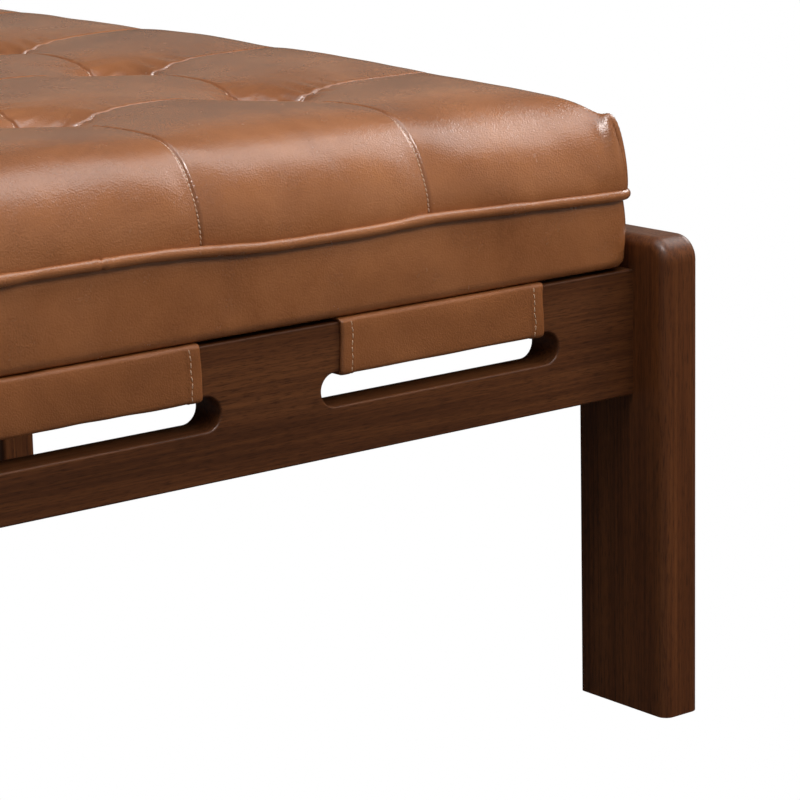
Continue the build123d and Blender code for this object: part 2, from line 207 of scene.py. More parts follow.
class Threads:
    """Stitches gathered into one mesh: each is a short plump strand with tapered ends."""

    ring_shares = ((-0.5, 0.35), (-0.36, 0.9), (0.0, 1.0), (0.36, 0.9), (0.5, 0.35))
    sides = 6
    bedding = 0.6

    def __init__(self) -> None:
        """Starts with no stitches."""
        self.points: list[np.ndarray] = []
        self.faces: list[list[int]] = []

    def add(self, start: np.ndarray, end: np.ndarray, up: np.ndarray, radius: float) -> None:
        """Adds one stitch.

        Args:
            start: Where the strand comes out.
            end: Where it goes in again.
            up: The surface's normal, along which the middle stands up.
            radius: The strand's radius.
        """
        along = end - start
        across = np.cross(up, along)
        across /= np.linalg.norm(across)
        middle = (start + end) / 2
        first = len(self.points) * len(self.ring_shares) * self.sides
        angles = np.arange(self.sides) * math.tau / self.sides
        rings = []
        for place, girth in self.ring_shares:
            centre = middle + along * place + up * radius * (girth - self.bedding)
            circle = np.cos(angles)[:, None] * across + np.sin(angles)[:, None] * up
            rings.append(centre + radius * girth * circle)
        self.points.append(np.concatenate(rings))
        count = len(self.ring_shares)
        self.faces += [[first + number for number in face]
                       for face in grid_faces(count, self.sides, ring_columns=True)]
        self.faces.append([first + number for number in reversed(range(self.sides))])
        self.faces.append([first + (count - 1) * self.sides + number for number in range(self.sides)])

    def run(self, path: np.ndarray, normals: np.ndarray, stitch: Stitch) -> None:
        """Adds a row of stitches along a path.

        Args:
            path: Points along the row.
            normals: The surface's normal at each point.
            stitch: The make of the row.
        """
        steps = np.linalg.norm(np.diff(path, axis=0), axis=1)
        arc = np.concatenate([[0], np.cumsum(steps)])
        for centre in np.arange(stitch.pitch / 2, arc[-1], stitch.pitch):
            ends = []
            for share in (-0.5, 0.5):
                place = centre + stitch.length * share
                ends.append(np.array([np.interp(place, arc, path[:, axis]) for axis in range(3)]))
            up = np.array([np.interp(centre, arc, normals[:, axis]) for axis in range(3)])
            up /= np.linalg.norm(up)
            across = np.cross(up, ends[1] - ends[0])
            across /= max(np.linalg.norm(across), NEAR_ZERO)
            aside = across * stitch.slant / 2
            self.add(ends[0] - aside, ends[1] + aside, up, stitch.radius)

    def build(self, name: str) -> bpy.types.Object:
        """Makes the gathered stitches into one object."""
        return make_object(name, np.concatenate(self.points), self.faces)


# Materials
def fill_ramp(ramp: bpy.types.Node, stops: Stops) -> None:
    """Sets the stops of a colour ramp.

    Args:
        ramp: The ramp's node, fresh.
        stops: Places from 0 to 1 with their colours, in order.
    """
    elements = ramp.color_ramp.elements
    for number, (place, colour) in enumerate(stops):
        stop = elements[number] if number < len(elements) else elements.new(place)
        stop.position = place
        stop.color = (*colour, 1)


def mix_by_ray(tree: bpy.types.NodeTree, switch: bpy.types.NodeSocket, usual: bpy.types.NodeSocket,
               special: bpy.types.NodeSocket) -> bpy.types.NodeSocket:
    """Swaps one shader for another on one kind of ray.

    Args:
        tree: The tree that takes the node.
        switch: The Light Path output that is 1 on that kind of ray.
        usual: The shader on every other ray.
        special: The shader on that kind of ray.

    Returns:
        The mixed shader.
    """
    mix = tree.nodes.new("ShaderNodeMixShader")
    for socket, source in zip(mix.inputs, (switch, usual, special)):
        tree.links.new(source, socket)
    return mix.outputs[0]


class Shader:
    """A material's node tree, with short calls for the nodes that the finishes share."""

    def __init__(self, name: str) -> None:
        """Makes a material with a Principled shader and the object's own coordinates.

        Args:
            name: The material's name.
        """
        self.material = bpy.data.materials.new(name)
        self.material.use_nodes = True
        self.nodes = self.material.node_tree.nodes
        self.links = self.material.node_tree.links
        self.surface = self.nodes["Principled BSDF"]
        self.place = self.nodes.new("ShaderNodeTexCoord").outputs["Object"]

    def set(self, **values: float) -> None:
        """Sets numbers on the shader's own sockets, named with underscores for spaces."""
        for name, value in values.items():
            self.surface.inputs[name.replace("_", " ").title().replace("Ior", "IOR")].default_value = value

    def scaled(self, scale: Triple) -> bpy.types.NodeSocket:
        """Gives the coordinates scaled along each axis.

        Args:
            scale: The scale along X, Y and Z.

        Returns:
            The scaled coordinates.
        """
        mapping = self.nodes.new("ShaderNodeMapping")
        mapping.inputs["Scale"].default_value = scale
        self.links.new(self.place, mapping.inputs["Vector"])
        return mapping.outputs["Vector"]

    def noise(self, scale: float, detail: float = 4, roughness: float = 0.55, distortion: float = 0,
              place: bpy.types.NodeSocket | None = None) -> bpy.types.NodeSocket:
        """Gives fractal noise from 0 to 1.

        Args:
            scale: Its features in a metre.
            detail: Its octaves.
            roughness: How strong the finer octaves are.
            distortion: How far it is warped.
            place: The coordinates, if not the object's own.

        Returns:
            The noise.
        """
        node = self.nodes.new("ShaderNodeTexNoise")
        for name, value in (("Scale", scale), ("Detail", detail), ("Roughness", roughness),
                            ("Distortion", distortion)):
            node.inputs[name].default_value = value
        self.links.new(place or self.place, node.inputs["Vector"])
        return node.outputs["Fac"]

    def cells(self, scale: float, smoothness: float) -> bpy.types.NodeSocket:
        """Gives rounded cells, low in their middles.

        Args:
            scale: Cells in a metre.
            smoothness: How far their borders are rounded, from 0 to 1.

        Returns:
            The height.
        """
        node = self.nodes.new("ShaderNodeTexVoronoi")
        node.feature = "SMOOTH_F1"
        node.inputs["Scale"].default_value = scale
        node.inputs["Smoothness"].default_value = smoothness
        self.links.new(self.place, node.inputs["Vector"])
        return node.outputs["Distance"]

    def ramp(self, value: bpy.types.NodeSocket, stops: Stops) -> bpy.types.NodeSocket:
        """Gives a colour for a value.

        Args:
            value: The value that runs along the ramp.
            stops: Places from 0 to 1 with their colours.

        Returns:
            The colour.
        """
        node = self.nodes.new("ShaderNodeValToRGB")
        fill_ramp(node, stops)
        self.links.new(value, node.inputs["Fac"])
        return node.outputs["Color"]

    def blend(self, amount: bpy.types.NodeSocket, first: bpy.types.NodeSocket,
              second: Colour) -> bpy.types.NodeSocket:
        """Blends a surface's colour into a plain one.

        Args:
            amount: How much of the plain colour shows, from 0 to 1.
            first: The surface's colour.
            second: The plain colour.

        Returns:
            The blended colour.
        """
        node = self.nodes.new("ShaderNodeMix")
        node.data_type = "RGBA"
        first_colour, second_colour = [socket for socket in node.inputs if socket.type == "RGBA"]
        self.links.new(amount, node.inputs["Factor"])
        self.links.new(first, first_colour)
        second_colour.default_value = (*second, 1)
        return next(socket for socket in node.outputs if socket.type == "RGBA")

    def sum(self, first: bpy.types.NodeSocket, second: bpy.types.NodeSocket,
            weight: float) -> bpy.types.NodeSocket:
        """Adds a weighted second value to the first.

        Args:
            first: The first value.
            second: The second value.
            weight: What the second is multiplied by.

        Returns:
            The sum.
        """
        node = self.nodes.new("ShaderNodeMath")
        node.operation = "MULTIPLY_ADD"
        self.links.new(second, node.inputs[0])
        node.inputs[1].default_value = weight
        self.links.new(first, node.inputs[2])
        return node.outputs[0]

    def span(self, value: bpy.types.NodeSocket, low: float, high: float, start: float = 0.3,
             stop: float = 0.7) -> bpy.types.NodeSocket:
        """Maps one range of a value to another.

        Args:
            value: The value.
            low: What it becomes at the start.
            high: What it becomes at the stop.
            start: Where its range starts.
            stop: Where its range stops.

        Returns:
            The mapped value.
        """
        node = self.nodes.new("ShaderNodeMapRange")
        for socket, number in (("From Min", start), ("From Max", stop), ("To Min", low), ("To Max", high)):
            node.inputs[socket].default_value = number
        self.links.new(value, node.inputs["Value"])
        return node.outputs["Result"]

    def colour(self, colour: bpy.types.NodeSocket) -> None:
        """Takes the surface's colour from a socket."""
        self.links.new(colour, self.surface.inputs["Base Color"])

    def roughness(self, value: bpy.types.NodeSocket) -> None:
        """Takes the surface's roughness from a socket."""
        self.links.new(value, self.surface.inputs["Roughness"])

    def bump(self, height: bpy.types.NodeSocket, distance: float, strength: float = 1.0) -> None:
        """Adds relief, after any that the surface has.

        Args:
            height: The height, from 0 to 1.
            distance: The depth of the relief at a height of 1.
            strength: How much of it is felt.
        """
        node = self.nodes.new("ShaderNodeBump")
        node.inputs["Strength"].default_value = strength
        node.inputs["Distance"].default_value = distance
        self.links.new(height, node.inputs["Height"])
        target = self.surface.inputs["Normal"]
        if target.links:
            self.links.new(target.links[0].from_socket, node.inputs["Normal"])
        self.links.new(node.outputs["Normal"], target)


def grain_scale(grain: Axis, along: float, across: float) -> Triple:
    """Gives a scale for each axis: one along the grain and another across it."""
    return tuple(along if axis is grain else across for axis in Axis)


@dataclass(frozen=True)
class Leather:
    """Burnished top-grain leather: mottled colour, fine pebbled grain and soft creases.

    The counts say how many of each feature a metre holds, and the depths how deep they lie.
    """

    name: str
    deep: Colour
    body: Colour
    bright: Colour
    roughness: float = 0.24
    gloss: float = 0.95
    coat: float = 0.25
    cloud_count: float = 9
    patch_count: float = 38
    speck_count: float = 420
    pebble_count: float = 780
    wrinkle_count: float = 900
    grain_depth: float = 0.18 * MM
    crease_count: float = 60
    crease_depth: float = 0.3 * MM

    def make(self) -> bpy.types.Material:
        """Builds the material.

        Returns:
            The finished material.
        """
        shader = Shader(self.name)
        clouds = shader.noise(self.cloud_count, detail=5, roughness=0.6, distortion=0.6)
        patches = shader.noise(self.patch_count, detail=4, roughness=0.6)
        specks = shader.noise(self.speck_count, detail=3, roughness=0.6)
        base = shader.ramp(clouds, [(0.3, self.deep), (0.5, self.body), (0.72, self.bright)])
        base = shader.blend(shader.span(patches, low=0.0, high=0.45), base, self.deep)
        base = shader.blend(shader.span(specks, low=0.0, high=0.22), base, self.bright)
        shader.colour(base)
        shader.roughness(shader.span(patches, low=self.roughness - 0.04, high=self.roughness + 0.05))
        shader.set(specular_ior_level=self.gloss, coat_weight=self.coat, coat_roughness=0.15)
        pebbles = shader.cells(self.pebble_count, smoothness=0.6)
        wrinkles = shader.noise(self.wrinkle_count, detail=2, roughness=0.5)
        creases = shader.noise(self.crease_count, detail=2, roughness=0.45)
        shader.bump(shader.sum(pebbles, wrinkles, weight=0.7), self.grain_depth)
        shader.bump(creases, self.crease_depth)
        return shader.material


@dataclass(frozen=True)
class StainedWood:
    """Walnut-stained hardwood under a satin lacquer, with grain along one axis.

    The counts say how many of each feature a metre holds, first along the grain and then across it.
    """

    name: str
    grain: Axis
    deep: Colour = (0.052, 0.0160, 0.0055)
    body: Colour = (0.116, 0.0375, 0.0122)
    bright: Colour = (0.205, 0.0740, 0.0240)
    pore: Colour = (0.020, 0.0062, 0.0024)
    band_counts: tuple[float, float] = (1.6, 26)
    streak_counts: tuple[float, float] = (5, 400)
    pore_counts: tuple[float, float] = (90, 1250)
    streak_depth: float = 0.1 * MM
    pore_depth: float = 0.12 * MM

    def make(self) -> bpy.types.Material:
        """Builds the material.

        Returns:
            The finished material.
        """
        shader = Shader(self.name)
        along_bands, along_streaks, along_pores = [
            shader.scaled(grain_scale(self.grain, *counts))
            for counts in (self.band_counts, self.streak_counts, self.pore_counts)]
        bands = shader.noise(1, detail=4, roughness=0.6, distortion=0.25, place=along_bands)
        streaks = shader.noise(1, detail=4, roughness=0.6, distortion=0.1, place=along_streaks)
        pores = shader.noise(1, detail=3, roughness=0.6, place=along_pores)
        base = shader.ramp(bands, [(0.2, self.deep), (0.5, self.body), (0.85, self.bright)])
        base = shader.blend(shader.span(streaks, 0.0, 0.5, start=0.48, stop=0.66), base, self.deep)
        base = shader.blend(shader.span(streaks, 0.3, 0.0, start=0.34, stop=0.5), base, self.bright)
        base = shader.blend(shader.span(pores, 0.0, 0.6, start=0.5, stop=0.66), base, self.pore)
        shader.colour(base)
        shader.roughness(shader.span(streaks, low=0.34, high=0.44))
        shader.set(specular_ior_level=0.4, coat_weight=0.1, coat_roughness=0.2)
        shader.bump(pores, self.pore_depth, strength=0.5)
        shader.bump(streaks, self.streak_depth, strength=0.4)
        return shader.material


@dataclass(frozen=True)
class RawWood:
    """Unfinished pale wood for the hidden framing, with grain along one axis and planing marks.

    The ring counts are for a metre along the grain and across it. Plywood has plies, counted as waves.
    """

    name: str
    grain: Axis
    body: Colour = (0.42, 0.27, 0.145)
    late: Colour = (0.27, 0.145, 0.066)
    plies: float = 0.0
    ring_counts: tuple[float, float] = (2.2, 34.0)
    fibre_count: float = 600
    fibre_depth: float = 0.1 * MM

    def make(self) -> bpy.types.Material:
        """Builds the material.

        Returns:
            The finished material.
        """
        shader = Shader(self.name)
        along_rings = shader.scaled(grain_scale(self.grain, *self.ring_counts))
        rings = shader.noise(1, detail=3, roughness=0.5, distortion=0.8, place=along_rings)
        base = shader.ramp(rings, [(0.35, self.body), (0.52, self.late), (0.6, self.body)])
        if self.plies:
            layers = shader.nodes.new("ShaderNodeTexWave")
            layers.bands_direction = "Z"
            layers.inputs["Scale"].default_value = self.plies
            shader.links.new(shader.place, layers.inputs["Vector"])
            base = shader.blend(shader.span(layers.outputs["Fac"], low=0.0, high=0.4), base, self.late)
        fibres = shader.noise(self.fibre_count, detail=2)
        shader.colour(shader.blend(shader.span(fibres, low=0.0, high=0.2), base, self.late))
        shader.roughness(shader.span(fibres, low=0.62, high=0.78))
        shader.bump(fibres, self.fibre_depth, strength=0.6)
        return shader.material


@dataclass(frozen=True)
class Metal:
    """Plated hardware, with a little mottling from the bath."""

    name: str
    body: Colour
    dull: Colour
    roughness: float = 0.34
    cloud_count: float = 160
    pit_count: float = 1800
    pit_depth: float = 0.02 * MM

    def make(self) -> bpy.types.Material:
        """Builds the material.

        Returns:
            The finished material.
        """
        shader = Shader(self.name)
        clouds = shader.noise(self.cloud_count, detail=4)
        shader.colour(shader.ramp(clouds, [(0.35, self.body), (0.7, self.dull)]))
        shader.roughness(shader.span(clouds, low=self.roughness - 0.06, high=self.roughness + 0.1))
        shader.set(metallic=1.0)
        shader.bump(shader.noise(self.pit_count, detail=2), self.pit_depth, strength=0.5)
        return shader.material


@dataclass(frozen=True)
class Fibre:
    """Felt, bonded cloth and cord: matt fibres of a given size, in a cross weave or at random."""

    name: str
    body: Colour
    deep: Colour
    size: float
    woven: bool = False
    relief: float = 0.25 * MM
    thread_share: float = 0.12

    def make(self) -> bpy.types.Material:
        """Builds the material.

        Returns:
            The finished material.
        """
        shader = Shader(self.name)
        fibres = shader.noise(1 / self.size, detail=3, roughness=0.6)
        height = fibres
        if self.woven:
            across, along = 1 / self.size, self.thread_share / self.size
            weft, warp = [shader.noise(1, detail=2, roughness=0.5,
                                       place=shader.scaled(grain_scale(axis, along, across)))
                          for axis in (Axis.X, Axis.Y)]
            height = shader.sum(weft, warp, weight=1.0)
            fibres = shader.span(height, low=0.0, high=1.0, start=0.7, stop=1.3)
        shader.colour(shader.ramp(fibres, [(0.3, self.deep), (0.65, self.body)]))
        shader.roughness(shader.span(fibres, low=0.8, high=0.95))
        shader.set(specular_ior_level=0.2, sheen_weight=0.15)
        shader.bump(height, self.relief)
        return shader.material


@dataclass(frozen=True)
class Thread:
    """Waxed sewing thread with a fine twist."""

    name: str
    body: Colour
    deep: Colour
    twist_count: float = 1500
    twist_depth: float = 0.05 * MM

    def make(self) -> bpy.types.Material:
        """Builds the material.

        Returns:
            The finished material.
        """
        shader = Shader(self.name)
        twist = shader.noise(self.twist_count, detail=2)
        shader.colour(shader.ramp(twist, [(0.3, self.deep), (0.6, self.body)]))
        shader.roughness(shader.span(twist, low=0.45, high=0.6))
        shader.bump(twist, self.twist_depth)
        return shader.material


class Finishes:
    """Every finish of the table, each built once."""

    recipes = (
        Leather("cushion leather", deep=(0.238, 0.078, 0.024), body=(0.345, 0.122, 0.040),
                bright=(0.440, 0.168, 0.062)),
        Leather("strap leather", deep=(0.225, 0.073, 0.020), body=(0.305, 0.103, 0.030),
                bright=(0.370, 0.135, 0.044), roughness=0.5, gloss=0.5, coat=0.05),
        StainedWood("walnut along the rails", Axis.X),
        StainedWood("walnut along the side rails", Axis.Y),
        # Painted light: the legs take a lighter copy of the rails' walnut, standing in for light that falls
        # on the legs' fronts.
        StainedWood("walnut along the legs", Axis.Z, deep=(0.062, 0.0180, 0.0055),
                    body=(0.140, 0.0425, 0.0125), bright=(0.248, 0.0840, 0.0245)),
        RawWood("poplar along the length", Axis.X),
        RawWood("poplar along the depth", Axis.Y),
        RawWood("birch dowel", Axis.X, body=(0.52, 0.36, 0.2), late=(0.4, 0.25, 0.12)),
        RawWood("birch plywood", Axis.X, body=(0.46, 0.31, 0.17), late=(0.3, 0.17, 0.085), plies=110),
        Metal("zinc plate", body=(0.62, 0.63, 0.64), dull=(0.42, 0.43, 0.44)),
        Metal("brass", body=(0.72, 0.52, 0.24), dull=(0.5, 0.34, 0.14), roughness=0.3),
        Fibre("black dust cloth", body=(0.022, 0.021, 0.02), deep=(0.008, 0.008, 0.008), size=0.6 * MM,
              woven=True),
        Fibre("brown felt", body=(0.075, 0.05, 0.035), deep=(0.03, 0.02, 0.014), size=0.4 * MM),
        Fibre("tufting cord", body=(0.55, 0.5, 0.42), deep=(0.35, 0.3, 0.24), size=0.3 * MM),
        Thread("tan thread", body=(0.80, 0.57, 0.40), deep=(0.55, 0.34, 0.21)),
    )

    def __init__(self) -> None:
        """Starts with nothing built."""
        self._built: dict[str, bpy.types.Material] = {}

    def get(self, name: str) -> bpy.types.Material:
        """Gives a finish's material, and builds it the first time.

        Args:
            name: The finish's name.

        Returns:
            The material.
        """
        if name not in self._built:
            recipe = next(recipe for recipe in self.recipes if recipe.name == name)
            self._built[name] = recipe.make()
        return self._built[name]

    def dress(self, piece: bpy.types.Object, name: str) -> bpy.types.Object:
        """Gives a piece one finish all over.

        Args:
            piece: The piece to dress.
            name: The finish's name.

        Returns:
            The same piece.
        """
        piece.data.materials.clear()
        piece.data.materials.append(self.get(name))
        return piece


def settle(piece: bpy.types.Object, slot: str, *nodes: str) -> None:
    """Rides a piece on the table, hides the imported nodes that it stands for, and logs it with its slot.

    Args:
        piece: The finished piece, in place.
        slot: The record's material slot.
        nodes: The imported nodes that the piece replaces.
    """
    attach(piece, BODY)
    if nodes:
        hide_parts(*nodes)
    LOG.info("%s: %d vertices, %s", piece.name, len(piece.data.vertices), slot)


# Camera and studio
@dataclass
class ViewPoint:
    """The camera at the photograph's place, angle and lens."""

    place: Triple = (-1.0445, -2.1148, 0.7600)
    yaw: float = math.radians(38.404)
    pitch: float = math.radians(13.075)
    roll: float = math.radians(-1.207)
    lens: float = 141.075
    sensor: float = 36.0
    nearest: float = 0.05

    def build(self) -> None:
        """Makes the camera and sets it as the scene's own."""
        forward = Vector((math.sin(self.yaw) * math.cos(self.pitch),
                          math.cos(self.yaw) * math.cos(self.pitch), -math.sin(self.pitch)))
        level = Vector((math.cos(self.yaw), -math.sin(self.yaw), 0))
        upright = level.cross(forward)
        right = level * math.cos(self.roll) + upright * math.sin(self.roll)
        above = upright * math.cos(self.roll) - level * math.sin(self.roll)
        turn = Matrix((right, above, -forward)).transposed().to_4x4()
        data = bpy.data.cameras.new("camera")
        data.lens = self.lens
        data.sensor_width = self.sensor
        data.clip_start = self.nearest
        camera = bpy.data.objects.new("camera", data)
        camera.matrix_world = Matrix.Translation(self.place) @ turn
        bpy.context.scene.collection.objects.link(camera)
        bpy.context.scene.camera = camera


@dataclass(frozen=True)
class SoftBox:
    """A rectangular studio lamp aimed at a point.

    A lamp that is lit lights the surfaces, and one that is mirrored shows in their sheen. The turn, in
    degrees, is about the line to the point that it is aimed at.
    """

    name: str
    place: Triple
    aim: Triple
    size: tuple[float, float]
    watts: float
    lit: bool = True
    mirrored: bool = False
    turn: float = 0.0

    def build(self) -> None:
        """Makes the lamp."""
        data = bpy.data.lights.new(self.name, "AREA")
        data.shape = "RECTANGLE"
        data.size, data.size_y = self.size
        data.energy = self.watts
        lamp = bpy.data.objects.new(self.name, data)
        lamp.location = self.place
        lamp.visible_glossy = self.mirrored
        lamp.visible_diffuse = self.lit
        lamp.rotation_euler = (Vector(self.aim) - Vector(self.place)).to_track_quat("-Z", "Y").to_euler()
        lamp.rotation_euler.rotate_axis("Z", math.radians(self.turn))
        bpy.context.scene.collection.objects.link(lamp)


@dataclass
class Studio:
    """A white cut-out studio under soft lamps."""

    floor_half: float = 9.0
    white: Colour = (1.0, 1.0, 1.0)
    ambient: Colour = (0.115, 0.113, 0.11)
    gleam: Stops = ((0.0, (0.03, 0.029, 0.026)), (0.1, (0.23, 0.222, 0.198)), (0.32, (0.28, 0.27, 0.245)),
                    (0.5, (0.15, 0.144, 0.13)), (1.0, (0.12, 0.115, 0.105)))
    floor_bounce: Colour = (0.19, 0.186, 0.18)
    floor_gleam: float = 0.03
    lamps: tuple[SoftBox, ...] = (
        SoftBox("overhead", (0.0, -0.75, 2.4), (0.0, -0.6, 0.4), (3.4, 1.4), 43),
        SoftBox("front key", (0.7, -2.5, 2.5), (0.2, -0.3, 0.3), (2.0, 1.2), 30),
        SoftBox("right key", (2.7, -1.9, 1.6), (0.3, -0.4, 0.3), (0.7, 0.7), 31),
        SoftBox("back fill", (0.4, 2.9, 1.2), (0.0, 0.3, 0.25), (2.0, 1.2), 20),
        SoftBox("overhead sheen", (1.3, -0.65, 2.4), (1.3, -0.65, 0.4), (5.0, 1.3), 36, lit=False,
                mirrored=True, turn=-14),
        SoftBox("side sheen", (2.4, 0.0, 1.55), (0.45, -0.45, 0.45), (0.8, 0.8), 14, lit=False,
                mirrored=True),
        SoftBox("corner sheen", (-0.3, -1.4, 2.4), (0.45, -0.465, 0.44), (0.9, 0.7), 30, lit=False,
                mirrored=True),
    )

    def _world(self) -> None:
        """Makes the sky: white to the camera, the gleam to reflections and a dim even room to the rest."""
        world = bpy.data.worlds.new("studio")
        world.use_nodes = True
        bpy.context.scene.world = world
        tree = world.node_tree
        nodes, links = tree.nodes, tree.links
        nodes.clear()
        path = nodes.new("ShaderNodeLightPath")
        room, backdrop, gleam = [nodes.new("ShaderNodeBackground") for _ in range(3)]
        room.inputs["Color"].default_value = (*self.ambient, 1)
        backdrop.inputs["Color"].default_value = (*self.white, 1)
        height = nodes.new("ShaderNodeSeparateXYZ")
        links.new(nodes.new("ShaderNodeTexCoord").outputs["Generated"], height.inputs[0])
        ramp = nodes.new("ShaderNodeValToRGB")
        fill_ramp(ramp, self.gleam)
        links.new(height.outputs["Z"], ramp.inputs["Fac"])
        links.new(ramp.outputs["Color"], gleam.inputs["Color"])
        sky = room.outputs[0]
        for ray, special in (("Is Glossy Ray", gleam), ("Is Camera Ray", backdrop)):
            sky = mix_by_ray(tree, path.outputs[ray], sky, special.outputs[0])
        links.new(sky, nodes.new("ShaderNodeOutputWorld").inputs[0])

    def _floor(self) -> None:
        """Makes the floor: white to the camera, dim to reflections, and matt for the light it returns."""
        half = self.floor_half
        corners = np.array([(-half, -half, 0), (half, -half, 0), (half, half, 0), (-half, half, 0)], float)
        floor = make_object("floor", corners, [[0, 1, 2, 3]])
        shader = Shader("studio floor")
        tone = shader.noise(0.8, detail=2)
        shader.colour(shader.ramp(tone, [(0.3, self.floor_bounce), (0.7, self.floor_bounce)]))
        shader.set(roughness=1.0, specular_ior_level=0.0)
        path = shader.nodes.new("ShaderNodeLightPath")
        surface = shader.surface.outputs[0]
        for ray, strength in (("Is Glossy Ray", self.floor_gleam), ("Is Camera Ray", 1.0)):
            glow = shader.nodes.new("ShaderNodeEmission")
            glow.inputs["Color"].default_value = (*self.white, 1)
            glow.inputs["Strength"].default_value = strength
            surface = mix_by_ray(shader.material.node_tree, path.outputs[ray], surface, glow.outputs[0])
        shader.links.new(surface, shader.nodes["Material Output"].inputs["Surface"])
        floor.data.materials.append(shader.material)

    def build(self) -> None:
        """Makes the floor, the sky and the lamps."""
        self._world()
        self._floor()
        for lamp in self.lamps:
            lamp.build()
        bpy.context.scene.view_settings.view_transform = "Standard"


# Cushion
def soft_min(first: np.ndarray, second: np.ndarray, softness: float) -> np.ndarray:
    """Gives the lower of two values, rounded off where they are close.

    Args:
        first: The first values.
        second: The second values.
        softness: How close the two are where the rounding starts.

    Returns:
        The lower values.
    """
    gap = np.clip((second - first) / softness, -1, 1)
    lower = np.minimum(first, second)
    return lower - softness * (1 - np.abs(gap)) ** 2 / 4


def ease(share: np.ndarray) -> np.ndarray:
    """Eases a share from 0 to 1, level at both ends."""
    share = np.clip(share, 0, 1)
    return share * share * (3 - 2 * share)


@dataclass(frozen=True)
class EdgeRoll:
    """The turn of the leather over an edge of the top, down to the welt.

    The half size is that of the cushion across the edge. The two exponents shape how soon the leather
    starts to fall and how late it stands upright.
    """

    half: float
    rise: float
    width: float
    outward_power: float
    kept_power: float
    steps: int = 400

    def _table(self) -> tuple[np.ndarray, np.ndarray, np.ndarray]:
        """Tables the turn.

        Returns:
            Its arc length, its way outward and the share of the rise kept.
        """
        angle = np.linspace(0, math.pi / 2, self.steps)
        outward = np.sin(angle) ** (2 / self.outward_power)
        kept = np.cos(angle) ** (2 / self.kept_power)
        lengths = np.hypot(np.diff(outward * self.width), np.diff(kept * self.rise))
        return np.concatenate([[0], np.cumsum(lengths)]), outward, kept

    @property
    def reach(self) -> float:
        """The distance along the leather from the middle to the welt."""
        return self.half - self.width + self._table()[0][-1]

    def turned(self, line: np.ndarray) -> tuple[np.ndarray, np.ndarray]:
        """Turns places along the leather into places in the plan and shares of the rise.

        Args:
            line: Signed distances along the leather from the middle.

        Returns:
            The signed places in the plan, and the share of the rise kept at each.
        """
        arc, outward, kept = self._table()
        flat = self.half - self.width
        past = np.abs(line) - flat
        plan = np.where(past > 0, flat + self.width * np.interp(past, arc, outward), np.abs(line))
        share = np.where(past > 0, np.interp(past, arc, kept), 1.0)
        return np.sign(line) * plan, share


@dataclass
class WeltLine:
    """The line on which the welt runs: high at the middle of each side and low at the corners."""

    level: float
    half: float
    seams: tuple[float, ...] = (-0.285, -0.095, 0.095, 0.285)
    slack: float = 2.0 * MM
    middle_rise: float = 5.5 * MM
    middle_run: float = 120 * MM
    pull: float = 1.6 * MM
    pull_run: float = 40 * MM
    corner_drop: float = 2.8 * MM
    corner_run: float = 150 * MM
    drift: float = 0.35 * MM
    waver: Waver = Waver(seed=5, wavelength=0.3)

    def rise(self, plan: np.ndarray) -> np.ndarray:
        """Gives how far the line lies above its level.

        Args:
            plan: Places in the plan.

        Returns:
            The heights over the level.
        """
        x, y = plan[..., 0], plan[..., 1]
        along = np.abs(np.where(np.abs(x) > np.abs(y), y, x))
        middle = self.middle_rise * np.exp(-(along / self.middle_run) ** 4)
        pulled = self.pull * np.exp(-((along - self.seams[-1]) / self.pull_run) ** 2)
        dropped = self.corner_drop * ease((along - self.half + self.corner_run) / self.corner_run)
        flat = np.concatenate([plan, np.zeros(plan.shape[:-1] + (1,))], axis=-1)
        return middle + pulled - dropped - self.slack + self.waver.at(flat) * self.drift


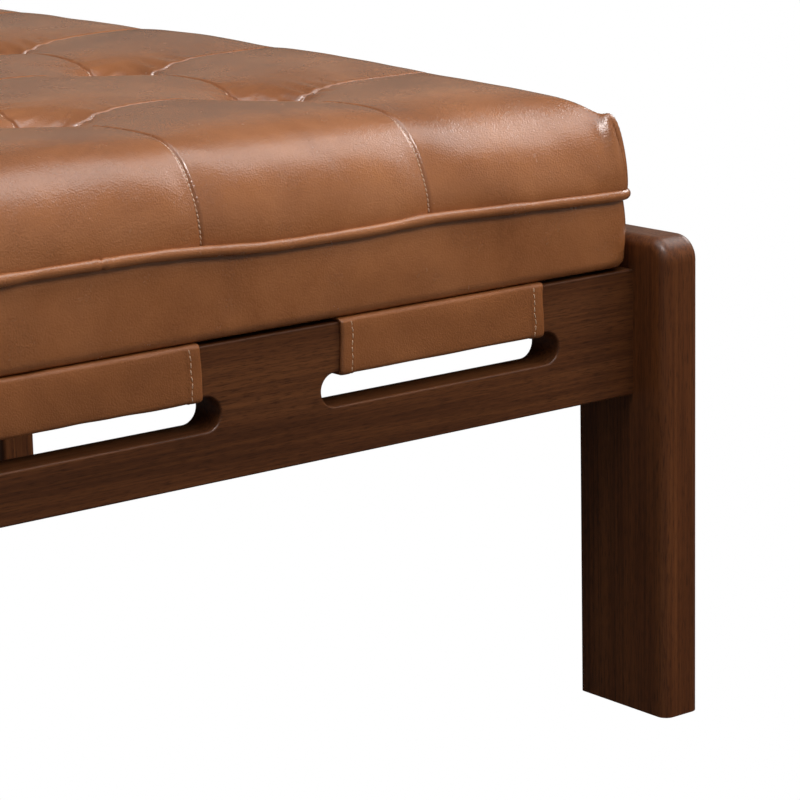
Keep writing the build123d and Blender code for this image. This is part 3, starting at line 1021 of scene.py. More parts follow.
@dataclass
class QuiltedTop:
    """The quilted top: five by five pillows between sewn seams, tufted where the seams cross.

    The front corners have settled a little, and each corner keeps a small tip where the leather is tucked.
    The powers shape how soon a form rises, and the runs how far it reaches.
    """

    half_x: float
    half_y: float
    line: WeltLine
    corner_radius: float = 14 * MM
    corner_ease: float = 0.75
    corner_softness: float = 0.04
    ridge_radius: float = 3.0 * MM
    seam_rise: float = 73 * MM
    crown_rise: float = 0.7 * MM
    crown_power: float = 1.4
    end_lift: float = 3.5 * MM
    pillow_rise: float = 1.3 * MM
    pillow_power: float = 2.6
    tuft_dip: float = 31 * MM
    button_dip: float = 9 * MM
    button_run: float = 24 * MM
    corner_fall: float = 14.0 * MM
    end_power: float = 2.2
    front_power: float = 1.6
    back_power: float = 8
    back_share: float = 0.3
    foot_ease: float = 1.2
    brow_ease: float = 2
    brow_lift: float = 8.5 * MM
    brow_fall: float = 14.5 * MM
    corner_run: float = 70 * MM
    tip_rise: float = 12.0 * MM
    tip_inset: float = 9.0 * MM
    tip_run: float = 8.5 * MM
    face_bulge: float = 2.9 * MM
    bulge_run: float = 16 * MM
    bulge_level: float = 0.6
    upright_share: float = 0.5
    groove_depth: float = 1.9 * MM
    groove_width: float = 1.3 * MM
    tuck_depth: float = 1.0 * MM
    tuck_run: float = 3.5 * MM
    gather_depth: float = 2.0 * MM
    gather_pitch: float = 14 * MM
    gather_reach: float = 46 * MM
    gather_shift: float = 2.2
    gather_waver: Waver = Waver(seed=13, wavelength=70 * MM)
    wave_depth: float = 0.55 * MM
    broad_waver: Waver = Waver(seed=11, wavelength=150 * MM)
    fine_waver: Waver = Waver(seed=12, wavelength=55 * MM)
    fine_share: float = 0.5
    spacing: float = 5 * MM
    cloth_spacing: float = 9 * MM
    cloth_cap: float = 7 * MM
    cloth_frames: int = 20
    cloth_settings: tuple[tuple[str, float], ...] = (
        ("quality", 5), ("mass", 0.4), ("tension_stiffness", 18), ("compression_stiffness", 6),
        ("shear_stiffness", 6), ("bending_stiffness", 2), ("uniform_pressure_force", 5))
    stitch: Stitch = Stitch(pitch=3.5 * MM, length=2.8 * MM, radius=0.42 * MM, slant=0.6 * MM)
    thread_proud: float = 0.45 * MM
    thread_level: float = 0.7
    thread_wander: float = 0.12 * MM
    thread_waver: Waver = Waver(seed=14, wavelength=30 * MM)
    near_edge: tuple[float, ...] = (0.7 * MM, 1.4 * MM, 2.2 * MM, 3.4 * MM, 5.2 * MM)
    near_seam: tuple[float, ...] = near_edge + (8 * MM, 12 * MM)
    on_seam: float = MM / 10

    def __post_init__(self) -> None:
        """Shapes the turns over the ends, and over the front and the back."""
        self.seams = self.line.seams
        self.end = EdgeRoll(self.half_x, self.seam_rise, width=46 * MM, outward_power=2.32, kept_power=2.92)
        self.face = EdgeRoll(self.half_y, self.seam_rise, width=80 * MM, outward_power=3.1, kept_power=2.05)

    def lines(self, roll: EdgeRoll, spacing: float, fine: bool) -> np.ndarray:
        """Lays out grid lines along the leather, with one on every seam.

        Args:
            roll: The turn at both ends of the lines' range.
            spacing: The usual distance between lines.
            fine: Whether extra lines crowd round the seams.

        Returns:
            Signed distances along the leather.
        """
        reach = roll.reach
        stops = [-reach, *self.seams, reach]
        places = set()
        for start, stop in zip(stops, stops[1:]):
            edge = fine and (start == -reach or stop == reach)
            count = max(2, round((stop - start) / (spacing / 2 if edge else spacing)))
            for number in range(count + 1):
                places.add(round(start + (stop - start) * number / count, 6))
        if fine:
            margin = self.near_seam[-1] + spacing / 3
            places = {place for place in places
                      if all(abs(place - seam) > margin or abs(place - seam) < self.on_seam
                             for seam in self.seams)}
            places |= {round(seam + sign * step, 6) for seam in self.seams for step in self.near_seam
                       for sign in (-1, 1)}
            places |= {sign * round(reach - step, 6) for step in self.near_edge for sign in (-1, 1)}
        return np.array(sorted(places))

    def _cell(self, plan: np.ndarray, half: float) -> np.ndarray:
        """Gives how far each place lies from the middle of its pillow.

        Args:
            plan: Places along one axis of the plan.
            half: Half the cushion's size along that axis.

        Returns:
            Shares from 0 in the middle to 1 at a seam.
        """
        last = self.seams[-1]
        half_pitch = (self.seams[1] - self.seams[0]) / 2
        middles = np.array(self.seams[:-1]) + half_pitch
        inner = np.min(np.abs(plan[:, None] - middles), axis=1) / half_pitch
        half_border = (half - last) / 2
        outer = np.clip((last + half_border - np.abs(plan)) / half_border, 0, 1)
        return np.where(np.abs(plan) > last, outer, inner)

    def _from_seam(self, line: np.ndarray) -> np.ndarray:
        """Gives the distance of each line from the nearest seam."""
        return np.min(np.abs(line[:, None] - np.array(self.seams)), axis=1)

    def _crown(self, x: np.ndarray, y: np.ndarray) -> np.ndarray:
        """Gives the slow crown of the top, lifted at the ends and settled at the corners.

        Args:
            x: Places from left to right.
            y: Places from front to back.

        Returns:
            The heights over the seams.
        """
        part_x, part_y = np.abs(x) / self.half_x, np.abs(y) / self.half_y
        crown = self.crown_rise * (1 - part_x ** self.crown_power) * (1 - part_y ** self.crown_power)
        last = self.seams[-1]
        crown = crown + self.end_lift * np.clip((np.abs(x) - last) / (self.half_x - last), 0, 1) ** 2
        settled = np.where(y < 0, part_y ** self.front_power, self.back_share * part_y ** self.back_power)
        return crown - self.corner_fall * part_x ** self.end_power * settled

    def _brow(self, x: np.ndarray, y: np.ndarray, kept: np.ndarray) -> np.ndarray:
        """Gives the brow of the front roll, fuller on the left than on the right.

        Args:
            x: Places from left to right.
            y: Places from front to back.
            kept: The share of the rise kept by each row.

        Returns:
            The heights to add.
        """
        brow = np.broadcast_to((4 * kept * (1 - kept))[:, None], x.shape) * (y < 0)
        brow = brow * (self.brow_lift - self.brow_fall * (x / self.half_x + 1) / 2)
        return brow * (1 - ease((np.abs(x) - self.half_x) / self.corner_run + 1))

    def _rounded(self, x: np.ndarray, y: np.ndarray) -> tuple[np.ndarray, np.ndarray]:
        """Pulls places in the plan onto rounded corners, tighter towards the middle.

        Args:
            x: Places from left to right.
            y: Places from front to back.

        Returns:
            The rounded places.
        """
        inset = np.minimum(self.half_x - np.abs(x), self.half_y - np.abs(y))
        radius = np.maximum(self.corner_radius - inset * self.corner_ease, self.ridge_radius)
        centre_x = self.half_x - inset - radius
        centre_y = self.half_y - inset - radius
        out_x = np.abs(x) - centre_x
        out_y = np.abs(y) - centre_y
        reach = np.maximum(np.hypot(out_x, out_y), NEAR_ZERO)
        cornered = (out_x > 0) & (out_y > 0)
        return (np.where(cornered, np.sign(x) * (centre_x + radius * out_x / reach), x),
                np.where(cornered, np.sign(y) * (centre_y + radius * out_y / reach), y))

    def form(self, line_x: np.ndarray, line_y: np.ndarray) -> np.ndarray:
        """Works out the stuffed form on a grid of lines.

        Args:
            line_x: Distances along the leather from left to right.
            line_y: Distances along the leather from front to back.

        Returns:
            Points in rows from front to back.
        """
        plan_x, share_x = self.end.turned(line_x)
        plan_y, share_y = self.face.turned(line_y)
        x, y = np.meshgrid(plan_x, plan_y)
        kept = np.maximum(soft_min(*np.meshgrid(share_x, share_y), softness=self.corner_softness), 0)
        across, along = np.meshgrid(self._cell(plan_x, self.half_x) ** self.pillow_power,
                                    self._cell(plan_y, self.half_y) ** self.pillow_power)
        from_button = np.hypot(*np.meshgrid(self._from_seam(plan_x), self._from_seam(plan_y)))
        pillow = (self.pillow_rise * (1 - across) * (1 - along) - self.tuft_dip * across * along
                  - self.button_dip * np.exp(-(from_button / self.button_run) ** 2))
        lift = self.line.rise(np.stack([x, y], axis=-1))
        foot = self.line.level + lift * (1 - ease(kept * self.foot_ease))
        from_tip = np.hypot(self.half_x - np.abs(x) - self.tip_inset,
                            self.half_y - np.abs(y) - self.tip_inset)
        tip = self.tip_rise * np.exp(-(from_tip / self.tip_run) ** 2)
        brow = self._brow(x, y, share_y) * ease(kept * self.brow_ease)
        z = foot + (self.seam_rise + self._crown(x, y) + pillow) * kept + tip + brow
        return np.stack([*self._rounded(x, y), z], axis=-1)

    def _stuffed(self, line_x: np.ndarray, line_y: np.ndarray) -> np.ndarray:
        """Swells the leather between its seams with a cloth simulation.

        Args:
            line_x: The fine grid's lines from left to right.
            line_y: The fine grid's lines from front to back.

        Returns:
            How far each point of the fine grid moves.
        """
        coarse_x = self.lines(self.end, self.cloth_spacing, False)
        coarse_y = self.lines(self.face, self.cloth_spacing, False)
        rest = self.form(coarse_x, coarse_y)
        cloth = grid_object("stuffing", rest)
        rows, columns = rest.shape[:2]
        held = np.zeros((rows, columns), bool)
        held[[0, 1, -2, -1], :] = True
        held[:, [0, 1, -2, -1]] = True
        held[self._from_seam(coarse_y) < MM, :] = True
        held[:, self._from_seam(coarse_x) < MM] = True
        group = cloth.vertex_groups.new(name="sewn")
        group.add(np.flatnonzero(held).tolist(), 1.0, "REPLACE")
        modifier = cloth.modifiers.new("cloth", "CLOTH")
        for name, value in self.cloth_settings:
            setattr(modifier.settings, name, value)
        modifier.settings.vertex_group_mass = group.name
        modifier.settings.use_pressure = True
        modifier.settings.effector_weights.gravity = 0
        modifier.point_cache.frame_start = 1
        modifier.point_cache.frame_end = self.cloth_frames
        scene = bpy.context.scene
        for frame in range(1, self.cloth_frames + 1):
            scene.frame_set(frame)
        shaped = cloth.evaluated_get(bpy.context.evaluated_depsgraph_get()).data
        after = np.empty(rows * columns * 3)
        shaped.vertices.foreach_get("co", after)
        moved = after.reshape(rest.shape) - rest
        scene.frame_set(1)
        bpy.data.objects.remove(cloth)
        distance = np.linalg.norm(moved, axis=2, keepdims=True)
        moved *= np.minimum(1, self.cloth_cap / np.maximum(distance, NEAR_ZERO))
        LOG.info("cloth swelled by up to %.1f mm, mean %.1f mm", distance.max() / MM, distance.mean() / MM)
        wide = np.apply_along_axis(lambda row: np.interp(line_x, coarse_x, row), 1, moved)
        return np.apply_along_axis(lambda column: np.interp(line_y, coarse_y, column), 0, wide)

    def _relief(self, points: np.ndarray, line_x: np.ndarray, line_y: np.ndarray) -> np.ndarray:
        """Works out the small relief along the normals: seams, gathers, bulged faces and slow waves.

        Args:
            points: The stuffed form.
            line_x: The grid's lines from left to right.
            line_y: The grid's lines from front to back.

        Returns:
            The height to add at each point.
        """
        kept_x, kept_y = np.meshgrid(self.end.turned(line_x)[1], self.face.turned(line_y)[1])
        seam_x, seam_y = np.meshgrid(self._from_seam(line_x), self._from_seam(line_y))
        groove = -self.groove_depth * (np.exp(-(seam_x / self.groove_width) ** 2)
                                       + np.exp(-(seam_y / self.groove_width) ** 2))
        on_front = ease((1 - kept_y) / self.upright_share)
        on_end = ease((1 - kept_x) / self.upright_share)
        bulge_x, bulge_y = [1 - np.exp(-(seam / self.bulge_run) ** 2) - self.bulge_level
                            for seam in (seam_x, seam_y)]
        bulge = self.face_bulge * (on_front * bulge_x + on_end * bulge_y)
        from_tuft = np.hypot(seam_x, seam_y)
        near = np.exp(-(from_tuft / self.gather_reach) ** 2) * (1 - on_front) * (1 - on_end)
        shift = self.gather_shift * self.gather_waver.at(points)
        pleat_x, pleat_y = [np.cos(places * math.tau / self.gather_pitch + shift)
                            * np.exp(-(seam / (self.gather_reach / 2)) ** 2)
                            for places, seam in ((points[..., 0], seam_y), (points[..., 1], seam_x))]
        waves = self.broad_waver.at(points) + self.fine_share * self.fine_waver.at(points)
        above = points[..., 2] - self.line.level - self.line.rise(points[..., :2])
        tuck = -self.tuck_depth * np.exp(-(above / self.tuck_run) ** 2) * np.maximum(on_front, on_end)
        gathers = near * self.gather_depth * (pleat_x + pleat_y)
        return groove + bulge + tuck + gathers + waves * self.wave_depth

    def _seam_threads(self, points: np.ndarray, line_x: np.ndarray, line_y: np.ndarray) -> bpy.types.Object:
        """Stitches every seam, in its groove on the top and prouder down the faces.

        Args:
            points: The finished leather.
            line_x: The grid's lines from left to right.
            line_y: The grid's lines from front to back.

        Returns:
            The thread.
        """
        threads = Threads()
        normals = grid_normals(points)
        for seam in self.seams:
            column = int(np.argmin(np.abs(line_x - seam)))
            row = int(np.argmin(np.abs(line_y - seam)))
            for path, ups in ((points[:, column], normals[:, column]), (points[row], normals[row])):
                proud = self.thread_proud * (1 - ease(ups[:, 2:] / self.thread_level))
                proud = proud + self.thread_wander * self.thread_waver.at(path)[:, None]
                threads.run(path + ups * proud, ups, self.stitch)
        return threads.build("quilting_thread")

    def build(self, finishes: Finishes) -> None:
        """Makes the quilted top and the thread of its seams.

        Args:
            finishes: The table's finishes.
        """
        line_x = self.lines(self.end, self.spacing, True)
        line_y = self.lines(self.face, self.spacing, True)
        points = self.form(line_x, line_y)
        points = points + self._stuffed(line_x, line_y)
        normals = grid_normals(points)
        points = points + normals * self._relief(points, line_x, line_y)[..., None]
        top = finishes.dress(grid_object("quilted_leather", points), "cushion leather")
        settle(top, "cushion_leather", "quilted_top", "foam_core")
        seams = finishes.dress(self._seam_threads(points, line_x, line_y), "tan thread")
        settle(seams, "cushion_leather")


class Perimeter:
    """A rounded rectangle in the plan, walked round from the middle of the front by arc length."""

    def __init__(self, half_x: float, half_y: float, radius: float, step: float) -> None:
        """Lays out the walk.

        Args:
            half_x: Half the length.
            half_y: Half the width.
            radius: The corner radius.
            step: The usual distance between points.
        """
        straight_x = half_x - radius
        straight_y = half_y - radius
        points: list[tuple[float, float]] = []
        outward: list[tuple[float, float]] = []
        runs = [((0, -half_y), (straight_x, -half_y), (straight_x, -straight_y), -90),
                ((half_x, -straight_y), (half_x, straight_y), (straight_x, straight_y), 0),
                ((straight_x, half_y), (-straight_x, half_y), (-straight_x, straight_y), 90),
                ((-half_x, straight_y), (-half_x, -straight_y), (-straight_x, -straight_y), 180),
                ((-straight_x, -half_y), (0, -half_y), (0, 0), None)]
        for start, stop, centre, first in runs:
            run = Vector(stop) - Vector(start)
            count = max(1, round(run.length / step))
            normal = (run.y / run.length, -run.x / run.length)
            for number in range(count):
                points.append(tuple(Vector(start) + run * number / count))
                outward.append(normal)
            if first is not None:
                arcs = max(4, round(radius * math.pi / 2 / (step / 2)))
                for number in range(arcs):
                    angle = math.radians(first + 90 * number / arcs)
                    outward.append((math.cos(angle), math.sin(angle)))
                    points.append((centre[0] + radius * math.cos(angle),
                                   centre[1] + radius * math.sin(angle)))
        self.plan = np.array(points)
        self.out = np.array(outward)

    def swept(self, section: np.ndarray) -> np.ndarray:
        """Sweeps a section round the walk.

        Args:
            section: Pairs of outward offset and height.

        Returns:
            Points in rows, one row for each place on the walk.
        """
        plan = self.plan[:, None, :] + self.out[:, None, :] * section[None, :, 0:1]
        heights = np.broadcast_to(section[None, :, 1:2], plan.shape[:2] + (1,))
        return np.concatenate([plan, heights], axis=2)


@dataclass
class BandAndWelt:
    """The plain leather band under the welt, turned under the seat, and the piped welt itself."""

    half_x: float
    half_y: float
    bottom: float
    line: WeltLine
    corner_radius: float = 14 * MM
    step: float = 5 * MM
    bulge: float = 1.0 * MM
    top_tuck: float = 0.6 * MM
    inset: float = 1.2 * MM
    bottom_round: float = 8 * MM
    tuck_width: float = 25 * MM
    face_rows: int = 15
    round_rows: int = 9
    swell_reach: float = 1.02
    swell_power: float = 0.8
    top_tuck_run: float = 4.5 * MM
    raw_edge: tuple[float, float] = (0.6 * MM, 1.2 * MM)
    wave_depth: float = 0.5 * MM
    broad_waver: Waver = Waver(seed=21, wavelength=170 * MM)
    fine_waver: Waver = Waver(seed=22, wavelength=60 * MM)
    fine_share: float = 0.5
    still_share: float = 0.35
    welt_radius: float = 3.8 * MM
    welt_sides: int = 18
    welt_proud: float = 1.1 * MM
    plump_share: float = 0.05
    plump_waver: Waver = Waver(seed=31, wavelength=38 * MM)
    welt_wander: float = 0.35 * MM
    wander_waver: Waver = Waver(seed=32, wavelength=90 * MM)
    joint_place: tuple[float, float] = (0.0154, -0.477)
    joint_gap: float = 0.7 * MM
    joint_pinch: float = 0.3
    joint_swell: float = 0.12
    joint_swell_place: float = 4 * MM
    joint_swell_run: float = 2 * MM

    def _section(self) -> np.ndarray:
        """Outlines the band from its tucked top down to its turned-under edge.

        Returns:
            Pairs of outward offset and height.
        """
        height = self.line.level - self.bottom
        rows = []
        for share in np.linspace(0, 1, self.face_rows):
            level = self.line.level - share * (height - self.bottom_round)
            swell = self.bulge * math.sin(math.pi * min(share * self.swell_reach, 1)) ** self.swell_power
            tuck = -self.top_tuck * math.exp(-(share * height / self.top_tuck_run) ** 2)
            rows.append((swell + tuck - self.inset * (1 - share), level))
        for angle in np.linspace(0, math.pi / 2, self.round_rows)[1:]:
            rows.append((self.bottom_round * (math.cos(angle) - 1),
                         self.bottom + self.bottom_round * (1 - math.sin(angle))))
        edge_width, edge_rise = self.raw_edge
        rows.append((-self.tuck_width, self.bottom))
        rows.append((-self.tuck_width - edge_width, self.bottom + edge_rise))
        return np.array(rows)

    def _band(self) -> bpy.types.Object:
        """Makes the band.

        Returns:
            The band.
        """
        walk = Perimeter(self.half_x, self.half_y, self.corner_radius, self.step)
        section = self._section()
        points = walk.swept(section)
        depth = np.clip((points[..., 2] - self.bottom) / (self.line.level - self.bottom), 0, 1)
        moving = np.clip((depth - self.still_share) / (1 - self.still_share), 0, 1)
        points[..., 2] += self.line.rise(walk.plan)[:, None] * moving
        waves = self.broad_waver.at(points) + self.fine_share * self.fine_waver.at(points)
        swing = waves * self.wave_depth * np.sin(np.pi * np.clip(depth, 0.0, 1.0))
        points[..., :2] += walk.out[:, None, :] * swing[..., None]
        return grid_object("leather_band", points, ring_rows=True)

    def _welt(self) -> bpy.types.Object:
        """Makes the welt: leather wrapped round a cord, with a butt joint at the front.

        Returns:
            The welt.
        """
        walk = Perimeter(self.half_x, self.half_y, self.corner_radius, self.step / 2)
        lift = self.line.rise(walk.plan)
        flat = np.concatenate([walk.plan, np.zeros((len(walk.plan), 1))], axis=1)
        plump = 1 + self.plump_share * self.plump_waver.at(flat)
        from_joint = np.linalg.norm(walk.plan - np.array(self.joint_place), axis=1)
        plump -= self.joint_pinch * np.exp(-(from_joint / self.joint_gap) ** 2)
        from_swell = from_joint - self.joint_swell_place
        plump += self.joint_swell * np.exp(-(from_swell / self.joint_swell_run) ** 2)
        wander = self.welt_wander * self.wander_waver.at(flat)
        angles = np.arange(self.welt_sides) * math.tau / self.welt_sides
        radius = self.welt_radius * plump[:, None]
        outward = self.welt_proud + wander[:, None] + radius * np.cos(angles)[None, :]
        height = self.line.level + lift[:, None] + radius * np.sin(angles)[None, :]
        plan = walk.plan[:, None, :] + walk.out[:, None, :] * outward[..., None]
        points = np.concatenate([plan, height[..., None]], axis=2)
        return grid_object("piped_welt", points, ring_rows=True, ring_columns=True)

    def build(self, finishes: Finishes) -> None:
        """Makes the band and the welt.

        Args:
            finishes: The table's finishes.
        """
        for piece, node in ((self._band(), "boxing_band"), (self._welt(), "welt")):
            settle(finishes.dress(piece, "cushion leather"), "cushion_leather", node)


@dataclass
class DustCloth:
    """The cloth stapled under the seat panel, slack between its edges."""

    sag: float = 0.35 * MM
    thickness: float = 0.5 * MM
    count: int = 60
    waver: Waver = Waver(seed=41, wavelength=90 * MM)

    def build(self, finishes: Finishes) -> None:
        """Makes the cloth.

        Args:
            finishes: The table's finishes.
        """
        low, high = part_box("dust_cover")
        x, y = np.meshgrid(np.linspace(low.x, high.x, self.count), np.linspace(low.y, high.y, self.count))
        places = np.stack([x, y, np.zeros_like(x)], axis=-1)
        z = high.z - self.thickness - self.sag * (0.5 + 0.5 * self.waver.at(places))
        z = np.clip(z, low.z - self.sag, high.z - self.thickness)
        points = np.stack([x, y, z], axis=-1)
        cloth = finishes.dress(grid_object("dust_cloth", points), "black dust cloth")
        solid = cloth.modifiers.new("thickness", "SOLIDIFY")
        solid.thickness = self.thickness
        solid.offset = 1
        settle(cloth, "cover_cloth", "dust_cover")


@dataclass
class Strap:
    """A leather strap round the bridge of wood above a slot, hemmed at both ends and top-stitched.

    The grid's lines near each edge are given in millimetres from it. Each bow of the edges has a share of
    the width, its bends down the strap and how often it takes the strap's seed.
    """

    name: str
    side: Side
    node: str
    thickness: float = 2.2 * MM
    corner: float = 3.2 * MM
    inner_corner: float = 0.4 * MM
    corner_rows: int = 6
    row_spacing: float = 4 * MM
    hem_width: float = 11 * MM
    hem_rise: float = 0.75 * MM
    hem_slope: float = 0.5 * MM
    edge_round: float = 0.9 * MM
    puff: float = 0.7 * MM
    puff_power: float = 0.3
    puff_ease: float = 0.25
    wave_depth: float = 0.3 * MM
    wave_length: float = 45 * MM
    edge_bows: tuple[tuple[float, float, int], ...] = ((0.007, 3, 1), (0.004, 7, 2))
    near_edge: tuple[float, ...] = (0, 0.6, 1.4, 2.6, 4.5, 6.5, 8.2, 8.8, 9.4, 10.2, 10.8, 11.4, 12.4, 15)
    middle_share: float = 0.8
    middle_rows: int = 33
    stitch: Stitch = Stitch(pitch=4.6 * MM, length=3.7 * MM, radius=0.36 * MM, slant=0.35 * MM)
    stitch_inset: float = 9 * MM
    stitch_dent: float = 0.3 * MM
    stitch_dent_run: float = 0.8 * MM
    stitch_stray: float = 0.5 * MM
    stitch_bends: float = 400
    front_share: float = 0.75
    under_share: float = 0.5
    seed: int = 0

    def _loop(self, low: Vector, high: Vector, inset: float, radius: float) -> np.ndarray:
        """Outlines the strap's loop in Y and Z.

        Args:
            low: The strap's lowest corner.
            high: Its highest corner.
            inset: How far the outline lies inside the strap's outer face.
            radius: The outline's corner radius.

        Returns:
            Rows of Y, Z and the outward normal's Y and Z.
        """
        rows = []
        y_low, y_high = low.y + inset, high.y - inset
        z_low, z_high = low.z + inset, high.z - inset
        corners = [(y_low + radius, z_low + radius, 180), (y_high - radius, z_low + radius, 270),
                   (y_high - radius, z_high - radius, 0), (y_low + radius, z_high - radius, 90)]
        for number, (y, z, first) in enumerate(corners):
            for angle in np.radians(np.linspace(first, first + 90, self.corner_rows)):
                rows.append((y + radius * math.cos(angle), z + radius * math.sin(angle),
                             math.cos(angle), math.sin(angle)))
            next_y, next_z, turn = corners[(number + 1) % 4]
            start = rows[-1]
            angle = math.radians(turn)
            stop = (next_y + radius * math.cos(angle), next_z + radius * math.sin(angle))
            length = math.hypot(stop[0] - start[0], stop[1] - start[1])
            count = max(3, round(length / self.row_spacing))
            for step in range(1, count):
                share = step / count
                rows.append((start[0] + (stop[0] - start[0]) * share,
                             start[1] + (stop[1] - start[1]) * share, math.cos(angle), math.sin(angle)))
        return np.array(rows)

    def _outer(self, low: Vector, high: Vector, places: np.ndarray, loop: np.ndarray) -> np.ndarray:
        """Works out the strap's outer face.

        Args:
            low: The strap's lowest corner.
            high: Its highest corner.
            places: Shares along the strap's width, from -1 to 1.
            loop: The outline, as rows of place and normal.

        Returns:
            Points in rows along the width.
        """
        half = (high.x - low.x) / 2
        middle = (high.x + low.x) / 2
        share, y = np.meshgrid(places, loop[:, 0], indexing="ij")
        z = np.broadcast_to(loop[:, 1], share.shape)
        drop = (z - low.z) / (high.z - low.z)
        bow = 1 + sum(depth * np.sin(drop * bends + turns * self.seed)
                      for depth, bends, turns in self.edge_bows)
        x = middle + half * share * bow
        points = np.stack([x, y, z], axis=-1)
        edge = half * (1 - np.abs(share))
        hem = self.hem_rise * (1 / (1 + np.exp((edge - self.hem_width) / self.hem_slope)))
        rounded = -self.edge_round * np.exp(-(edge / self.edge_round) ** 2)
        dent = -self.stitch_dent * np.exp(-((edge - self.stitch_inset) / self.stitch_dent_run) ** 2)
        flat_part = np.clip(np.minimum(drop, 1 - drop) / self.puff_ease, 0, 1)
        puff = self.puff * flat_part * np.clip(edge / half, 0, 1) ** self.puff_power
        waves = self.wave_depth * Waver(50 + self.seed, self.wave_length).at(points)
        outward = np.broadcast_to(loop[:, 2:4], share.shape + (2,))
        lift = hem + rounded + dent + puff + waves
        under_cushion = outward[..., 1] > self.under_share
        lift = np.where(under_cushion, np.minimum(lift, 0), lift)
        points[..., 1:] += outward * lift[..., None]
        return points

    def _layers(self, outer: np.ndarray, inner_loop: np.ndarray) -> np.ndarray:
        """Closes the strap's outer face into a sleeve with its inner face.

        Args:
            outer: The outer face, in rows along the width.
            inner_loop: The inner face's outline.

        Returns:
            Points in rows, out along the outer face and back along the inner one.
        """
        inner_arc = np.linspace(0, 1, outer.shape[1], endpoint=False)
        source = np.linspace(0, 1, len(inner_loop), endpoint=False)
        inner = outer.copy()
        for axis in range(2):
            inner[..., 1 + axis] = np.interp(inner_arc, source, inner_loop[:, axis], period=1)
        return np.concatenate([outer, inner[::-1]], axis=0)

    def _top_stitching(self, outer: np.ndarray, places: np.ndarray, loop: np.ndarray,
                       half: float) -> bpy.types.Object:
        """Stitches both hems down the face that shows.

        Args:
            outer: The outer face, in rows along the width.
            places: Shares along the strap's width, from -1 to 1.
            loop: The outline, as rows of place and normal.
            half: Half the strap's width.

        Returns:
            The thread.
        """
        threads = Threads()
        order = np.flatnonzero(loop[:, 2] * self.side.value > self.front_share)
        order = order[np.argsort(loop[order, 1])]
        ups = np.concatenate([np.zeros((len(order), 1)), loop[order, 2:4]], axis=1)
        for sign in (-1, 1):
            row = int(np.argmin(np.abs(places - sign * (1 - self.stitch_inset / half))))
            path = outer[row, order].copy()
            path[:, 0] += self.stitch_stray * np.sin(path[:, 2] * self.stitch_bends + self.seed)
            threads.run(path, ups, self.stitch)
        return threads.build(self.name + "_stitching")

    def build(self, finishes: Finishes) -> None:
        """Makes the strap and its stitching.

        Args:
            finishes: The table's finishes.
        """
        low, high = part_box(self.node)
        loop = self._loop(low, high, 0, self.corner)
        inner_loop = self._loop(low, high, self.thickness, self.inner_corner)
        half = (high.x - low.x) / 2
        right = 1 - np.array(self.near_edge) * MM / half
        middle = np.linspace(-self.middle_share, self.middle_share, self.middle_rows)
        places = np.unique(np.concatenate([-right, right, middle]))
        outer = self._outer(low, high, places, loop)
        sleeve = grid_object(self.name, self._layers(outer, inner_loop), ring_rows=True, ring_columns=True)
        settle(finishes.dress(sleeve, "strap leather"), "strap_leather", self.node)
        stitching = self._top_stitching(outer, places, loop, half)
        settle(finishes.dress(stitching, "tan thread"), "strap_leather")


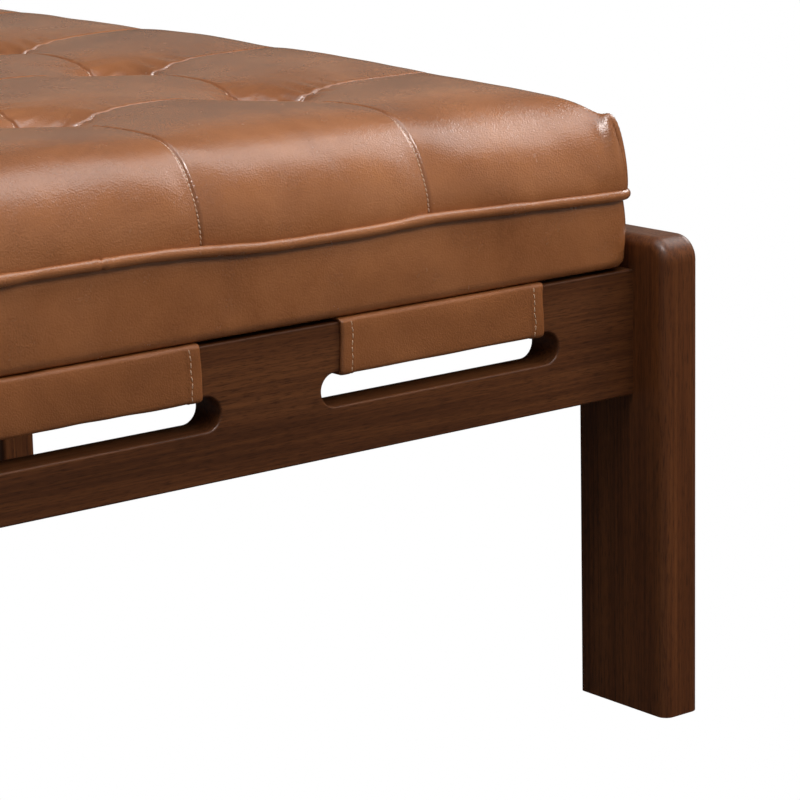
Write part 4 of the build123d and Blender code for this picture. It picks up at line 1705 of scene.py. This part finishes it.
# Frame
@dataclass
class FeltPad:
    """A felt pad under a leg, soft at its rim."""

    node: str
    corner: float = 4 * MM
    rim: float = 0.7 * MM
    step: float = 3 * MM

    def build(self, finishes: Finishes) -> None:
        """Makes the pad.

        Args:
            finishes: The table's finishes.
        """
        low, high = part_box(self.node)
        centre = (low + high) / 2
        walk = Perimeter(high.x - centre.x, high.y - centre.y, self.corner, self.step)
        rows = [(-self.rim * 3, low.z), (-self.rim, low.z), (-self.rim * 0.3, low.z + self.rim * 0.3),
                (0, low.z + self.rim), (0, high.z - self.rim * 0.5), (-self.rim * 0.3, high.z),
                (-self.rim * 3, high.z)]
        ring = walk.swept(np.array(rows))
        ring[..., :2] += np.array(centre.xy)
        points = ring.reshape(-1, 3)
        count, levels = ring.shape[:2]
        faces = grid_faces(count, levels, ring_rows=True)
        faces.append([number * levels for number in range(count)][::-1])
        faces.append([number * levels + levels - 1 for number in range(count)])
        pad = make_object(self.node.replace("foot_pad", "felt_pad"), points, faces)
        settle(finishes.dress(pad, "brown felt"), "felt", self.node)


class Framing:
    """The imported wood, plates and fasteners, which keep their own shapes and get their finishes."""

    # The legs' walnut carries painted light: it is a lighter copy of the rails' walnut.
    finish_of = {"leg_front": "walnut along the legs", "leg_back": "walnut along the legs",
                 "front_rail": "walnut along the rails", "back_rail": "walnut along the rails",
                 "side_rail": "walnut along the side rails", "corner_block": "poplar along the length",
                 "ledger_left": "poplar along the depth", "ledger_right": "poplar along the depth",
                 "batten_1": "poplar along the depth", "batten_2": "poplar along the depth",
                 "rail_dowels": "birch dowel", "seat_panel": "birch plywood", "tie_cords": "tufting cord",
                 "leg_inserts": "brass"}

    def dress(self, nodes: dict[str, bpy.types.Object], finishes: Finishes) -> None:
        """Gives every shown node its finish; what isn't listed is plated steel.

        Args:
            nodes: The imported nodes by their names.
            finishes: The table's finishes.
        """
        for name, node in nodes.items():
            if node.hide_render:
                continue
            finish = next((finish for start, finish in self.finish_of.items() if name.startswith(start)),
                          "zinc plate")
            finishes.dress(node, finish)
            LOG.info("%s: %s", name, finish)


def main() -> None:
    """Builds the table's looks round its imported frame, piece by piece."""
    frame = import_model()
    finishes = Finishes()
    ViewPoint().build()
    Studio().build()
    low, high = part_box("boxing_band")
    welt_low, welt_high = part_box("welt")
    line = WeltLine((welt_low.z + welt_high.z) / 2, high.x)
    QuiltedTop(high.x, high.y, line).build(finishes)
    BandAndWelt(high.x, high.y, low.z, line).build(finishes)
    DustCloth().build(finishes)
    seed = 0
    for side in Side:
        for number in (1, 2, 3):
            seed += 1
            face = side.name.lower()
            strap = Strap(f"{face}_strap_{number}_leather", side, f"{face}_strap_{number}", seed=seed)
            strap.build(finishes)
        for hand in ("left", "right"):
            FeltPad(f"foot_pad_{side.name.lower()}_{hand}").build(finishes)
    Framing().dress(frame["nodes"], finishes)


if __name__ == "__main__":
    logging.basicConfig(level=logging.INFO, format="%(name)s: %(message)s")
    main()
